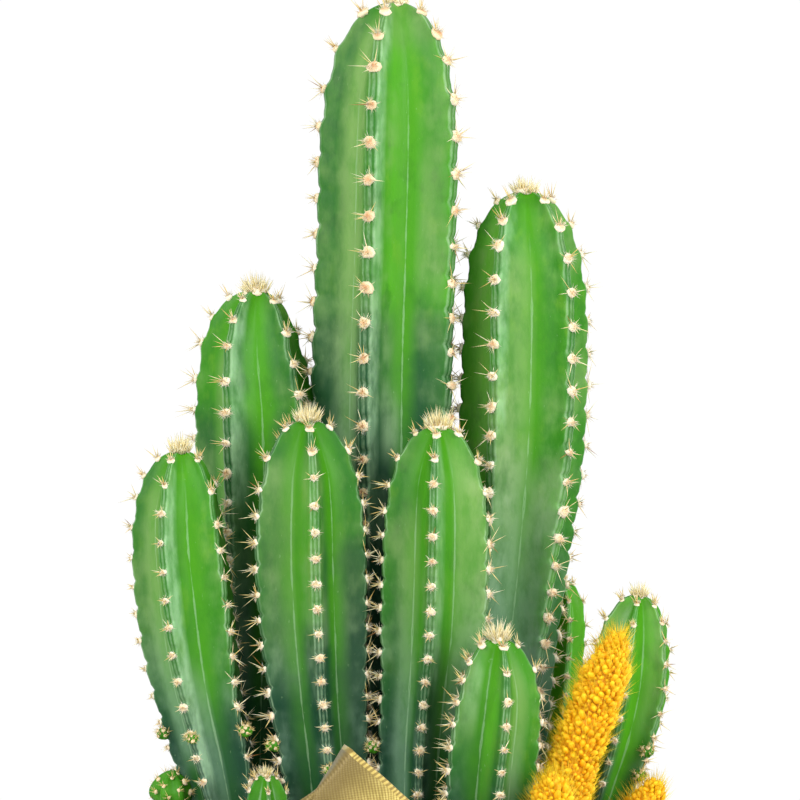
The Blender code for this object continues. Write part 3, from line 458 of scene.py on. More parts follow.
def waxy_cactus_skin(look):
    """Cactus epidermis: a smooth green skin, vivid beside the grooves, under a thin bloom of wax that greys
    the flanks in soft patches, partly wax and partly a painted sheen. It is deeper and bluer near the soil,
    partly older skin and partly painted shade, with painted shade where the stems shade each other, painted
    light on some flanks and painted highlights beside some crests. Pale cork edges the crests."""
    material, tree = new_material("waxy cactus skin", {
        "IOR": 1.36, "Specular IOR Level": 0.2, "Subsurface Weight": 0.1,
        "Subsurface Radius": (0.5, 1.0, 0.25), "Subsurface Scale": 1.5 * MM})
    coordinates = add_node(tree, "TexCoord", output="Object")
    drawn_out = add_node(tree, "Mapping", {"Vector": coordinates, "Scale": (1, 1, 0.45)})
    shifted = add_node(tree, "Mapping", {
        "Vector": coordinates, "Location": (0.3, 0.1, 0.2), "Scale": (1, 1, 0.6)})
    patches, clouds, mottle, fine = (
        add_node(tree, "TexNoise", {"Vector": vector, "Scale": 1 / size, "Detail": detail, "Roughness": 0.6})
        for vector, size, detail in (
            (coordinates, 26 * MM, 3.0), (shifted, 11 * MM, 4.0), (drawn_out, 5 * MM, 5.0),
            (drawn_out, 1.1 * MM, 3.0)))
    groove, age, edge, yellow, bloomed_and_sheen, painted_highlight, corky, darkened, fresh_and_lit = (
        add_node(tree, "Attribute", output="Fac", attribute_name=name)
        for name in ("from_groove", "age", "crest_edge", "yellow", *MARKS))

    # How far the skin is aged and shaded: towards the soil, partly older skin and partly painted shade, and
    # where painted shade falls between the stems; less under painted light, on skin that also grew lately
    old = add_node(tree, "Math", (product(tree, (age, 0.25, 0.9, 0.0, 0.8)), darkened), operation="ADD")
    old = add_node(tree, "Math", (fresh_and_lit, -0.4, old), operation="MULTIPLY_ADD")

    # Wax bloom in soft patches between crest and groove, and thicker in marks. Its grey is partly a
    # painted sheen, and on some shaded flanks the marks are painted light
    patchy = add_node(tree, "Math", (mottle, 0.35, patches), operation="MULTIPLY_ADD")
    patchy = add_node(tree, "Math", (age, 0.03, patchy), operation="MULTIPLY_ADD")
    bloom = add_node(tree, "Math", (
        product(tree, (patchy, 0.6, 0.95, 0.0, 0.42), (groove, 1.5 * MM, 9 * MM)),
        product(tree, bloomed_and_sheen, (mottle, 0.25, 0.6, 0.55, 1.0))), operation="ADD")
    # Wax colour: its grey-green is partly a painted sheen, and bluer towards the soil it is partly aged wax
    # and partly painted shade
    wax = layered(tree, rgba(look.bloom), (rgba("#7A9C84"), (age, 0.25, 0.8)))

    # Broken pale lines on both edges of the crest, along its middle, and in the groove, where the line
    # wanders a little off the bottom
    off_edge = add_node(tree, "Math", (edge, 0.98), operation="SUBTRACT")
    off_edge = add_node(tree, "Math", (off_edge,), operation="ABSOLUTE")
    wander = add_node(tree, "Math", (mottle, 2.2 * MM, -1.1 * MM), operation="MULTIPLY_ADD")
    wander = add_node(tree, "Math", (groove, wander), operation="ADD")
    wander = add_node(tree, "Math", (wander,), operation="ABSOLUTE")
    pale = product(tree, (off_edge, 0.05, 0.45, 0.38, 0.0), (mottle, 0.38, 0.62, 0.25, 1.0))
    for line in (((edge, 0.1, 0.5, 0.28, 0.0), (fine, 0.35, 0.6, 0.4, 1.0)),
                 ((wander, 0.05 * MM, 0.5 * MM, 0.3, 0.0), (age, 0.04, 0.2))):
        pale = add_node(tree, "Math", (pale, product(tree, *line)), operation="MAXIMUM")

    # Corky brown skin near the ground and where the skin was rubbed
    cork = add_node(tree, "Math", (age, 0.95), operation="MULTIPLY")
    cork = product(tree, mottle, add_node(tree, "Math", (corky, 1.6, cork), operation="MULTIPLY_ADD"))

    lit, dark = rgba(look.green_lit), rgba(look.green_old_and_shade)
    green = layered(
        # Painted light, with skin that grew lately, brightens and yellows the green
        tree, rgba(look.green_deep), (lit, yellow), (rgba("#55A51C"), fresh_and_lit),
        (lit, (mottle, 0.35, 0.7, 0.0, 0.55)),
        (rgba("#1C5514"), (clouds, 0.46, 0.3, 0.0, 0.45)),
        (rgba("#5E9422"), (clouds, 0.52, 0.7, 0.0, 0.5)),
        # Painted shade: darker towards the soil, partly older skin, and where the stems shade each other
        (dark, old),
        # Brighter and yellower beside the grooves, less so near the soil
        (rgba("#3F8410"), (groove, 1.0 * MM, 8 * MM, 0.85, 0.0), (age, 0.3, 0.95, 1.0, 0.15),
         (patches, 0.3, 0.6, 0.45, 1.0)),
        # Wax bloom, partly a painted sheen, with painted light on some shaded flanks
        (wax, bloom),
        # Painted highlight: pale strips beside the crests
        (rgba("#A9D0A6"), painted_highlight, (mottle, 0.25, 0.7, 0.25, 0.9)),
        (dark, (edge, 0.7, 1.3, 0.3, 0.0)),
        (rgba(look.pale_line), pale),
        # Fine pale scuffs
        (rgba("#86A876"), (fine, 0.66, 0.8, 0.0, 0.35)),
        (rgba("#7A6D50"), (cork, 0.55, 0.75, 0.0, 0.75)))
    bump = add_node(tree, "Bump", {"Height": fine, "Strength": 0.3, "Distance": 0.12 * MM})
    bump = add_node(tree, "Bump", {"Height": mottle, "Strength": 0.35, "Distance": 0.5 * MM, "Normal": bump})
    return linked(material, {
        "Base Color": green, "Normal": bump, "Roughness": product(tree, (bloom, 0.0, 0.7, 0.36, 0.6))})


def toned_material(name, stops, roughness, weight=0.0, scale=1 * MM):
    """Horny, woolly or crumbly matter whose colour follows the tone of each point, with a fine mottle."""
    material, tree = new_material(name, {
        "Roughness": roughness, "Specular IOR Level": 0.3, "Subsurface Weight": weight,
        "Subsurface Radius": (1.0, 0.7, 0.4), "Subsurface Scale": scale})
    tone = add_node(tree, "Attribute", output="Fac", attribute_name="tone")
    coordinates = add_node(tree, "TexCoord", output="Object")
    mottle = add_node(tree, "TexNoise", {"Vector": coordinates, "Scale": 1 / (0.8 * MM), "Detail": 2.0})
    shift = add_node(tree, "MapRange", (mottle, 0.0, 1.0, -0.12, 0.12))
    tone = add_node(tree, "Math", (tone, shift), operation="ADD")
    return linked(material, {"Base Color": toned(tree, tone, stops)})


def fired_terracotta(look):
    """Unglazed fired clay, thrown on a wheel: dry and porous, with fine turning lines, darker flecks and a
    pale bloom of lime that rises from the foot."""
    material, tree = new_material("unglazed terracotta", {"Roughness": 0.88})
    coordinates = add_node(tree, "TexCoord", output="Object")
    flat = add_node(tree, "Mapping", {"Vector": coordinates, "Scale": (0.02, 0.02, 1)})
    cloud, grit, turning = (
        add_node(tree, "TexNoise", {
            "Vector": vector, "Scale": 1 / size, "Detail": detail, "Roughness": roughness})
        for vector, size, detail, roughness in (
            (coordinates, 35 * MM, 6.0, 0.6), (coordinates, 1.2 * MM, 3.0, 0.5), (flat, 1.6 * MM, 2.0, 0.5)))
    fleck = add_node(tree, "MapRange", (grit, 0.62, 0.72, 0.0, 0.35))
    height = add_node(tree, "SeparateXYZ", (coordinates,), "Z")
    low = add_node(tree, "MapRange", (height, 0.0, 60 * MM, 0.34, 0.0))
    rise = add_node(tree, "Math", (cloud, low), operation="ADD")
    lime = add_node(tree, "MapRange", (rise, 0.62, 0.95, 0.0, 0.6))
    clay = layered(tree, rgba(look.clay_dark), (rgba(look.clay_light), cloud), (rgba("#633020"), fleck),
                   (rgba("#B5A292"), lime))
    bump = add_node(tree, "Bump", {"Height": turning, "Strength": 0.5, "Distance": 0.3 * MM})
    bump = add_node(tree, "Bump", {"Height": grit, "Strength": 0.5, "Distance": 0.25 * MM, "Normal": bump})
    return linked(material, {"Base Color": clay, "Normal": bump})


def woven_gold_grosgrain(look):
    """Ribbon woven of gold yarn: stout cords across it, which catch the light in ridges, fine warp lines
    along it, and a firm selvage of light and dark stitches on both edges. Painted shade darkens each loop
    towards its middle, where it folds over."""
    material, tree = new_material("woven gold grosgrain", {
        "Roughness": 0.42, "Metallic": 0.25, "Sheen Weight": 0.2})
    weave = add_node(tree, "Attribute", output="Vector", attribute_name="weave")
    mirrored = add_node(tree, "VectorMath", (weave,), operation="ABSOLUTE")
    warp_turn = 2 * math.pi / look.warp_spacing
    waves = []
    for vector, turn in (
            (weave, (0, 0, 2 * math.pi / look.cord_spacing)),
            (weave, (CORD_LEAN[1] * warp_turn, CORD_LEAN[0] * warp_turn, 0)),
            (mirrored, (700, 2 * math.pi / STITCH_LENGTH, 0))):
        phase = add_node(tree, "VectorMath", (vector, turn), "Value", operation="DOT_PRODUCT")
        waves.append(add_node(tree, "Math", (phase,), operation="SINE"))
    cord = add_node(tree, "MapRange", (waves[0], -1.0, 1.0))
    warp = add_node(tree, "MapRange", (waves[1], -1.0, 1.0, 0.0, 0.45))
    stitch = add_node(tree, "MapRange", (waves[2], -0.4, 0.4))
    height = add_node(tree, "Math", (cord, warp), operation="ADD")
    thread = add_node(tree, "TexNoise", {"Vector": weave, "Scale": 1 / (2.5 * MM), "Detail": 4.0})
    cloth = toned(tree, product(tree, height, thread), (
        (0.05, "#927E3A"), (0.4, "#BDA755"), (0.9, "#E5D27C")))
    # Painted shade, darker towards the middle of each loop where it folds over
    fold = add_node(tree, "Attribute", output="Fac", attribute_name="fold")
    shade = add_node(tree, "Math", (fold, 0.9), operation="MULTIPLY")
    side = add_node(tree, "SeparateXYZ", (mirrored,), "X")
    selvage = add_node(tree, "Math", (side, RIBBON_WIDTH / 2 - SELVAGE_WIDTH), operation="GREATER_THAN")
    stitches = layered(tree, rgba("#816C2C"), (rgba("#B39D50"), stitch))
    raised = add_node(tree, "Mix", {"Factor": selvage, "A": height, "B": stitch}, "Result", data_type="FLOAT")
    return linked(material, {
        "Base Color": layered(tree, cloth, (rgba("#5E4C18"), shade), (stitches, selvage)),
        "Normal": add_node(tree, "Bump", {"Height": raised, "Strength": 0.35, "Distance": 0.2 * MM})})


# Stems

class StemForm:
    """One stem, worked out at whole arrays of heights: its axis, the frame across it, its crest radius,
    and where its areoles sit."""

    def __init__(self, number, name):
        first_rib, spacing, phases, self.yellow, stations = STEMS[name]
        self.number = number
        self.phases = np.array(phases)
        self.ribs = len(phases)
        self.spacing = [s * MM for s in spacing]
        self.stations = np.array(stations[::-1], float) * MM
        self.tip = self.stations[-1, 2]
        self.base = self.stations[0]
        self.size = self.base[3] / FOOT_SHARE
        self.angles = math.radians(first_rib) + turns(self.ribs)

    def axis(self, z):
        """Points of the axis with the crest radius as a fourth number."""
        return smooth_between(self.stations[:, 2], self.stations, z)

    def top(self):
        return self.axis(np.array(self.tip))[:3]

    def frame(self, z):
        """Unit vectors across the axis towards +X and the back."""
        step = 2 * MM
        ahead = self.axis(np.minimum(z + step, self.tip))[..., :3]
        behind = self.axis(np.maximum(z - step, self.base[2]))[..., :3]
        along = unit(ahead - behind)
        across = unit(np.array((1.0, 0, 0)) - along * along[..., :1])
        return across, np.cross(along, across)

    def directions(self, z, angle):
        """Unit vectors outward and sideways from the axis, at angles from the front towards +X."""
        across, back = self.frame(z)
        sine, cosine = np.sin(angle)[..., None], np.cos(angle)[..., None]
        return across * sine - back * cosine, across * cosine + back * sine

    def crest_radius(self, z):
        """Full radius below the crown; within it the square root of 1 - (1 - depth) cubed."""
        full = self.axis(z)[..., 3]
        down = np.clip((self.tip - z) / (full * CROWN_REACH), 0, 1)
        return full * np.sqrt(np.maximum(1 - (1 - down) ** 3, 0))

    def age(self, z):
        """0 at the tip and 1 at the soil."""
        return np.clip((self.tip - z) / (self.tip - SOIL_TOP), 0, 1)

    def areole_heights(self):
        """Height of every areole, one line for each row and one column for each rib. The rows crowd at the
        crown. In the first and last two rows the ribs' shifts fade out."""
        top, bottom = self.spacing
        z = self.tip - CROWN_ROWS[0] * top
        rows = []
        while z > SOIL_TOP + 6 * MM:
            spacing = top + (bottom - top) * (self.tip - z) / (self.tip - SOIL_TOP)
            rows.append((z, spacing))
            z -= spacing * (CROWN_ROWS[len(rows)] if len(rows) < len(CROWN_ROWS) else 1.0)
        rows = np.array(rows)
        place = np.arange(len(rows))
        fade = np.clip(np.minimum(place, place[::-1]) / 2, 0, 1)
        return rows[:, :1] - fade[:, None] * self.phases * rows[:, 1:]

    def notch(self, z, rib):
        """Share of the radius cut from the crest just above each areole, less the swelling below it. Near
        the crown the crest also runs straight from areole to areole, a little inside the round outline."""
        heights = self.areole_heights()[:, rib]
        top, bottom = self.spacing
        ends = np.concatenate(([heights[-1] - bottom], heights[::-1], [heights[0] + top]))
        number = np.interp(z, ends, np.arange(len(heights), -2, -1))
        off = number - np.round(number)
        cut = 0.045 * np.exp(-((off + 0.23) / 0.10) ** 2) - 0.018 * np.exp(-((off - 0.14) / 0.2) ** 2)
        down = (self.tip - z) / self.crest_radius(z).max()
        near = smooth_step(0.1, 0.5, down) * (1 - smooth_step(0.8, 2.4, down))
        hollow = 0.05 * np.sin(np.pi * off) ** 2 * near
        return cut * (0.5 + self.age(z)) * (0.5 + 0.5 * smooth_step(0, 1.2, down)) + hollow


def stem_heights(form):
    """Heights of the mesh rows: close together over the crown's top, then a tenth of an areole's spacing."""
    crown = form.tip - 0.3 * form.base[3] * np.linspace(0.12, 1, 9) ** 2
    step = np.mean(form.spacing) / 10
    return np.concatenate((crown, np.arange(crown[-1] - step, SOIL_TOP - 6 * MM, -step)))


def stem_skin(form):
    """The ribbed skin as a grid: rows go down the stem, and columns round it. Across half a rib, the
    section runs from the crest's middle over its rounded edge and a slightly swelling flank to the groove:
    a straight line from edge to groove plus a parabola square to it."""
    z = stem_heights(form)
    centre = form.axis(z)[:, :3]
    above_neck = smooth_step(SOIL_TOP - 1 * MM, SOIL_TOP + 12 * MM, z)
    radius = form.crest_radius(z) * above_neck + NECK_SHARE * form.size * (1 - above_neck)
    half_width = CREST_SHARE * radius
    crown = 1 - smooth_step(0.0, 1.6, (form.tip - z) / form.base[3])
    groove = radius * (GROOVE_SHARE * above_neck + NECK_GROOVE_SHARE * (1 - above_neck)) * (1 - 0.25 * crown)
    half_turn = math.pi / form.ribs
    edge = np.stack((radius - 0.74 * half_width, 1.32 * half_width), axis=-1)
    run = groove[:, None] * (math.cos(half_turn), math.sin(half_turn)) - edge
    square = unit(np.stack((-run[:, 1], run[:, 0]), axis=-1)) * -np.sign(run[:, :1])
    bulge = 4 * FLANK_PLACES * (1 - FLANK_PLACES) * (1 - 0.3 * FLANK_PLACES)
    flank = edge[:, None] + run[:, None] * FLANK_PLACES[:, None]
    flank = flank + square[:, None] * (FLANK_BULGE * radius[:, None] * bulge)[..., None]
    columns, from_groove, crest_edge = [], [], []
    for rib, angle in enumerate(form.angles):
        cut = radius * form.notch(z, rib)
        top = np.stack([np.stack((radius - cut - down * half_width, out * half_width), axis=-1)
                        for down, out in CREST_PROFILE], axis=1)
        side = flank.copy()
        side[..., 0] -= cut[:, None] * (1 - FLANK_PLACES) ** 6
        half = np.concatenate((top, side), axis=1)
        steps = np.linalg.norm(np.diff(half, axis=1), axis=-1)
        far = np.concatenate((np.zeros((len(z), 1)), np.cumsum(steps, axis=1)), axis=1)
        order = np.concatenate((np.arange(half.shape[1] - 2, 0, -1), np.arange(half.shape[1])))
        sign = np.where(np.arange(len(order)) < half.shape[1] - 2, -1.0, 1.0)
        outward, sideways = form.directions(z, np.full(len(z), angle))
        section = half[:, order]
        columns.append(centre[:, None] + outward[:, None] * section[..., :1]
                       + sideways[:, None] * (section[..., 1] * sign)[..., None])
        from_groove.append((far[:, -1:] - far)[:, order])
        crest_edge.append((far / half_width[:, None])[:, order])
    grid = np.concatenate(columns, axis=1)
    seed = 19 + form.number
    swell = 1 + 0.012 * value_noise(grid, 38 * MM, seed) + 0.003 * value_noise(grid, 9 * MM, seed + 1)
    grid = centre[:, None] + (grid - centre[:, None]) * swell[..., None]
    block = tube(grid, (form.top(), centre[-1]), quads=True)
    facts = {
        "from_groove": np.append(np.concatenate(from_groove, axis=1), (0, 0)),
        "crest_edge": np.append(np.concatenate(crest_edge, axis=1), (0, 0)),
        "age": np.append(np.repeat(form.age(z), grid.shape[1]), (0, 1)),
        "yellow": np.full(len(block[0]), form.yellow),
    }
    facts.update({kind: marked(block[0], form, marks) for kind, marks in MARKS.items()})
    return block, facts


def marked(points, form, marks):
    """How far each point lies within the stem's marks, from 0 to 1: a smooth fall-off with height and with
    the angle round the axis, from each mark's middle."""
    total = np.zeros(len(points))
    offset = points - form.axis(points[:, 2])[:, :3]
    angle = np.degrees(np.arctan2(offset[:, 0], -offset[:, 1]))
    for stem, middle, half_angle, low, high, strength in marks:
        if stem == form.number:
            turn = np.abs((angle - middle + 180) % 360 - 180)
            share = strength * (1 - smooth_step(0.5 * half_angle, half_angle, turn))
            share = share * smooth_step((low - 8) * MM, (low + 8) * MM, points[:, 2])
            share = share * (1 - smooth_step((high - 10) * MM, (high + 10) * MM, points[:, 2]))
            total = np.maximum(total, share)
    return total


def grow_buds(form, draw):
    """Young round shoots on the stem, as blocks of bodies, wool and spines: lumpy balls, each with small
    areoles of wool and spines on a golden-angle spiral over it."""
    blocks = []
    for stem, place, radius in BUDS:
        if stem != form.number:
            continue
        place, radius = np.array(place) * MM, radius * MM
        ball, faces = unit_ball(*BUD_BALL)
        ribbed = 1 + 0.18 * np.cos(6 * np.arctan2(ball[:, 1], ball[:, 0])) * np.sqrt(1 - ball[:, 2] ** 2)
        ribbed = ribbed + 0.22 * value_noise(place + ball * radius, 0.7 * radius, 61)
        body = place + ball * (radius * ribbed)[:, None]
        number = int(10 + radius / MM * 1.4)
        up = 1 - 1.5 * (np.arange(number) + 0.5) / number
        away = polar(np.arange(number) * GOLDEN_ANGLE, np.sqrt(1 - up**2), up)
        at = place + away * radius * 1.02
        dot = (0.36 * MM + 0.06 * radius) * draw.uniform(0.5, 1.5, number)
        points, pads, _ = wool_pads(at, axes_about(away, dot * 1.25, dot * 0.8), draw)
        count = number * BUD_SPINES
        lean = unit(np.repeat(away, BUD_SPINES, axis=0) + draw.normal(0, 0.65, (count, 3)) + (0, 0, 0.5))
        long = (1.5 * MM + 0.3 * radius) * draw.uniform(0.4, 1.4, count)
        spines = needles(np.repeat(at, BUD_SPINES, axis=0), lean, 0.11 * MM, long, 0.4, SPINE_WAIST)
        blocks.append(((body, faces, np.zeros(len(body))), (points, pads, np.full(len(points), 0.3)), spines))
    return [joined(*kind) for kind in zip(*blocks)]


def areole_frames(form):
    """Place, outward, sideways and upward vectors and row of every areole that stands clear of the soil."""
    heights = form.areole_heights()
    rib = np.tile(np.arange(form.ribs), len(heights))
    row = np.repeat(np.arange(len(heights)), form.ribs)
    z = heights.ravel()

    def crest_point(height):
        outward, sideways = form.directions(height, form.angles[rib])
        notch = np.stack([form.notch(height, r) for r in range(form.ribs)])[rib, np.arange(len(height))]
        radius = form.crest_radius(height) * (1 - notch)
        return form.axis(height)[:, :3] + outward * radius[:, None], sideways

    place, sideways = crest_point(z)
    step = 1.5 * MM
    upward = unit(crest_point(np.minimum(z + step, form.tip - 0.2 * MM))[0] - crest_point(z - step)[0])
    return place, unit(np.cross(sideways, upward)), sideways, upward, row


def wool_pads(place, axes, draw):
    """Wool cushions: flattened balls whose skin is pushed in and out by noise of two sizes."""
    ball = unit_ball(*PAD_BALL)
    points, faces, shade = copies(ball, place, axes, draw.uniform(-1, 1, len(place)))
    centres = np.repeat(place, len(ball[0]), axis=0)
    lumps = 0.34 * value_noise(points, 1.5 * MM, 3) + 0.26 * value_noise(points, 0.6 * MM, 4)
    high = np.tile(np.clip(ball[0][:, 2], 0, 1), len(place))
    tone = 0.03 + 0.5 * smooth_step(0.65, 1.0, high) + 0.12 * shade
    return centres + (points - centres) * (1 + lumps)[:, None], faces, tone


def grow_areoles(form, look, draw):
    """Wool cushions with loose strands, and the spines that stand in them, as two blocks: long spines, more
    of them to the sides and to the left, and short ones between. Spines are worn on ribs that face left,
    and on the small stems on those that face the front."""
    place, outward, sideways, upward, row = areole_frames(form)
    count = len(place)
    size = np.clip(form.base[3] / (17 * MM), 0.5, 1.2) * draw.uniform(0.85, 1.15, count)
    crown = row < 2
    width, height = look.wool_width / 2, look.wool_height
    axes = np.stack((
        sideways * (size * width)[:, None],
        upward * (size * width * 0.9 * draw.uniform(0.8, 1.15, count))[:, None],
        outward * (size * height)[:, None]), axis=1)
    grown = smooth_step(23 * MM, 27 * MM, form.size)
    points, faces, tone = wool_pads(place, axes, draw)
    pads = (points, faces, tone + 0.14 * grown)

    def spread(number, low, high, still):
        """Directions round each areole: turns spread evenly and jittered, and a slope above the skin."""
        turn = (np.arange(number) / number + draw.uniform(-0.6, 0.6, (count, number)) / number) * 2 * np.pi
        turn = turn - 0.22 * np.sin(2 * turn)
        slope = draw.uniform(low, high, (count, number))
        flat = np.cos(turn)[..., None] * sideways[:, None] + np.sin(turn)[..., None] * upward[:, None]
        way = np.cos(slope)[..., None] * flat + np.sin(slope)[..., None] * outward[:, None]
        return unit(way + still[:, None, None] * np.array((0, 0, 1.0))).reshape(-1, 3), slope.ravel()

    way, slope = spread(look.hairs, 0.0, 1.3, np.where(crown, 0.5, -0.25))
    grain = np.repeat(size, look.hairs)
    reach = grain * (0.55 + 0.35 * draw.random(len(way))) * (width * np.cos(slope) + height * np.sin(slope))
    foot = np.repeat(place, look.hairs, axis=0) + way * reach[:, None]
    long = grain * 1.7 * MM * draw.uniform(0.5, 1.4, len(way))
    strands = needles(foot, way, 0.12 * MM, long, draw.uniform(-0.05, 0.42, len(way)))

    number = look.spines
    way, slope = spread(number, 0.2, 1.2, np.where(crown, 1.1, 0.0))
    way = unit(way - (0.35, 0, 0))
    rank = draw.permuted(np.tile(np.arange(number), (count, 1)), axis=1).ravel()
    main = rank < LONG_SPINES
    long = np.where(main, draw.uniform(0.6, 1.15, len(way)), draw.uniform(0.25, 0.5, len(way)))
    worn = 0.45 * (1 - grown) * smooth_step(0.8, 0.97, -outward[:, 1])
    worn = worn + 0.5 * smooth_step(0.975, 0.99, -outward[:, 0])
    long = long * look.spine_length * np.repeat(np.where(crown, 0.85, 1.0) * (1 - worn) * size**0.6, number)
    thin = look.spine_thickness / 2 * np.where(main, draw.uniform(0.85, 1.15, len(way)), 0.75)
    tone = np.where(draw.random(len(way)) < 0.05, 0.9, draw.uniform(0.0, 0.5, len(way)))
    tone = np.where(np.repeat(crown, number), draw.uniform(0.15, 0.55, len(way)), tone)
    foot = np.repeat(place, number, axis=0) + way * 0.4 * MM
    return joined(pads, strands), needles(foot, way, thin, long, tone, SPINE_WAIST)


def crown_tuft(form, look, draw):
    """Upright golden spines over white wool on the stem's growing point, as two blocks: they start within
    a small disc and lean outwards by their distance from its middle."""
    size = np.clip(form.base[3] / (14 * MM), 0.6, 1.2)
    number = int(TUFT_SPINES * min(size, 1) ** 2)
    turn = draw.uniform(0, 2 * np.pi, number)
    far = np.sqrt(draw.random(number)) * 3.6 * size
    out = polar(turn, far)
    foot = form.top() + (out - polar(0.0, 0.0, 0.4 + 0.06 * far**2)) * MM
    way = unit(out + (0, 0, 6.0) + draw.normal(0, 0.9, (number, 3)))
    long = look.spine_length * draw.uniform(0.4, 1.1, number) * (1.15 - 0.4 * (far / far.max()) ** 2)
    long = long * size * np.clip(14 * MM / form.base[3], 0.6, 1)
    thin = look.spine_thickness / 2 * draw.uniform(0.85, 1.1, number)
    spines = needles(foot, way, thin, long, draw.uniform(0.0, 0.32, number), SPINE_WAIST)

    middle = (form.top() - (0, 0, 0.6 * MM))[None]
    points, faces, tone = wool_pads(middle, (np.diag((3.9, 3.9, 1.9)) * MM * size)[None], draw)
    pad = (points, faces, np.minimum(tone, 0.3))
    turn, slope = draw.uniform(0, 2 * np.pi, TUFT_HAIRS), draw.uniform(-0.2, 1.4, TUFT_HAIRS)
    lean = polar(turn, np.cos(slope), np.sin(slope))
    long = 1.9 * MM * size * draw.uniform(0.5, 1.3, TUFT_HAIRS)
    foot = middle + lean * (3.4, 3.4, 1.4) * MM * size
    hair = needles(foot, unit(lean + (0, 0, 0.4)), 0.11 * MM, long, draw.uniform(0, 0.3, TUFT_HAIRS))
    return joined(pad, hair), spines


# Properties

def colour_value(name, description, hex_colour):
    return bpy.props.FloatVectorProperty(
        name=name, description=description, subtype="COLOR", size=3, min=0, max=1, default=linear(hex_colour))


def length_value(name, description, default):
    return bpy.props.FloatProperty(
        name=name, description=description, default=default, unit="LENGTH", precision=5)


def power_value(name, description, default):
    return bpy.props.FloatProperty(name=name, description=description, default=default, unit="POWER")


def count_value(name, description, default, low, high):
    return bpy.props.IntProperty(name=name, description=description, default=default, min=low, max=high)


class StemLook(bpy.types.PropertyGroup):
    """Sizes and colours of the stems"""
    wool_width: length_value("Wool width", "Width of a woolly areole", 4.0 * MM)
    wool_height: length_value("Wool height", "How far the wool stands out of the crest", 1.1 * MM)
    spine_length: length_value("Spine length", "Length of a long spine", 8.0 * MM)
    spine_thickness: length_value("Spine thickness", "Thickness of a spine at its foot", 0.44 * MM)
    spines: count_value("Spines", "Spines on an areole", 8, 3, 16)
    hairs: count_value("Hairs", "Loose hairs on an areole", 34, 0, 60)
    green_deep: colour_value("Deep green", "Skin of the slower stems", "#266A17")
    green_lit: colour_value("Bright green", "Skin of the fresher stems", "#3E8518")
    green_old_and_shade: colour_value("Old green", "Skin near the soil", "#1A3F2B")
    bloom: colour_value("Bloom", "Waxy grey-green of the flanks", "#7C9A5E")
    pale_line: colour_value("Pale line", "Edges of the crests and bottoms of the grooves", "#9FBF98")


class PotLook(bpy.types.PropertyGroup):
    """Colours of the pot"""
    clay_dark: colour_value("Dark clay", "Darker clouds of the clay", "#86492F")
    clay_light: colour_value("Light clay", "Lighter clouds of the clay", "#A4664A")


class SoilLook(bpy.types.PropertyGroup):
    """Sizes of the soil"""
    crumb_size: length_value("Crumb size", "Mean size of a crumb of peat", 1.9 * MM)
    crumbs: count_value("Crumbs", "Loose crumbs on the soil", 1700, 0, 4000)


class GrassLook(bpy.types.PropertyGroup):
    """Sizes of the golden grass heads"""
    grain_size: length_value("Grain size", "Width of a grain", 3.0 * MM)
    bristle_length: length_value("Bristle length", "Mean length of a bristle", 6.8 * MM)


class RibbonLook(bpy.types.PropertyGroup):
    """Sizes of the ribbon's weave"""
    cord_spacing: length_value("Cord spacing", "Distance from cord to cord", 1.1 * MM)
    warp_spacing: length_value("Warp spacing", "Distance between the fine lines across the cords", 0.85 * MM)
    thickness: length_value("Thickness", "Thickness of the woven band", 0.6 * MM)


class StageLook(bpy.types.PropertyGroup):
    """Light and floor"""
    right_power: power_value("Right light", "Power of the right soft box", 22.0)
    left_power: power_value("Left light", "Power of the left soft box", 17.4)
    front_power: power_value("Front light", "Power of the soft box over the camera", 5.0)
    sky: bpy.props.FloatProperty(
        name="Surround", description="Strength of the white surround", default=1.02, min=0)
    floor: colour_value("Floor", "Pale floor", "#D2D1CC")


# Operators

class CACTUS_OT_grow_stems(bpy.types.Operator):
    """Grow every stem with its skin, its woolly areoles and its spines"""
    bl_idname = "cactus.grow_stems"
    bl_label = "Grow Stems"

    def execute(self, context):
        look = context.scene.cactus_stems
        skin = waxy_cactus_skin(look)
        # Wool that sheds from white to brown is dull; horn is smooth and lets a little light through
        wool_material = toned_material("areole wool", (
            (0.0, "#E4DAC4"), (0.3, "#DAC6A0"), (0.65, "#C2936A"), (1.0, "#8E5C36")), 0.95, 0.25)
        spine_material = toned_material("horn spines", (
            (0.0, "#EBE2BC"), (0.3, "#E0C988"), (0.6, "#CC9E4C"), (1.0, "#6E3A1C")), 0.4, 0.25)
        for number, name in enumerate(STEMS, 1):
            form = StemForm(number, name)
            draw = np.random.default_rng(99 + number)
            block, facts = stem_skin(form)
            new_piece(f"{name}_skin", block, skin, "cactus_skin", (name,), **facts)
            parts = [grow_areoles(form, look, draw), crown_tuft(form, look, draw)]
            buds = grow_buds(form, draw)
            if buds:
                # Buds have plain young skin under a light painted shade, with one fact each for all their
                # points
                plain = np.zeros(len(buds[0][0]))
                green = dict.fromkeys(facts, plain)
                green.update(from_groove=plain + 3 * MM, crest_edge=plain + 5, yellow=plain + 0.5,
                             darkened=plain + 0.3)
                new_piece(f"{name}_buds", buds[0][:2], skin, "cactus_skin", **green)
                parts.append(buds[1:])
            wool, spines = (joined(*blocks) for blocks in zip(*parts))
            new_piece(f"{name}_wool", wool, wool_material, "cactus_skin")
            new_piece(f"{name}_spines", spines, spine_material, "cactus_skin")
        return {"FINISHED"}


class CACTUS_OT_turn_pot(bpy.types.Operator):
    """Turn the pot with its rolled rim and drain holes"""
    bl_idname = "cactus.turn_pot"
    bl_label = "Turn Pot"

    def execute(self, context):
        material = fired_terracotta(context.scene.cactus_pot)
        cut_drain_holes(new_piece("pot_clay", turned_pot(), material, "pot_clay", ("pot",)))
        return {"FINISHED"}


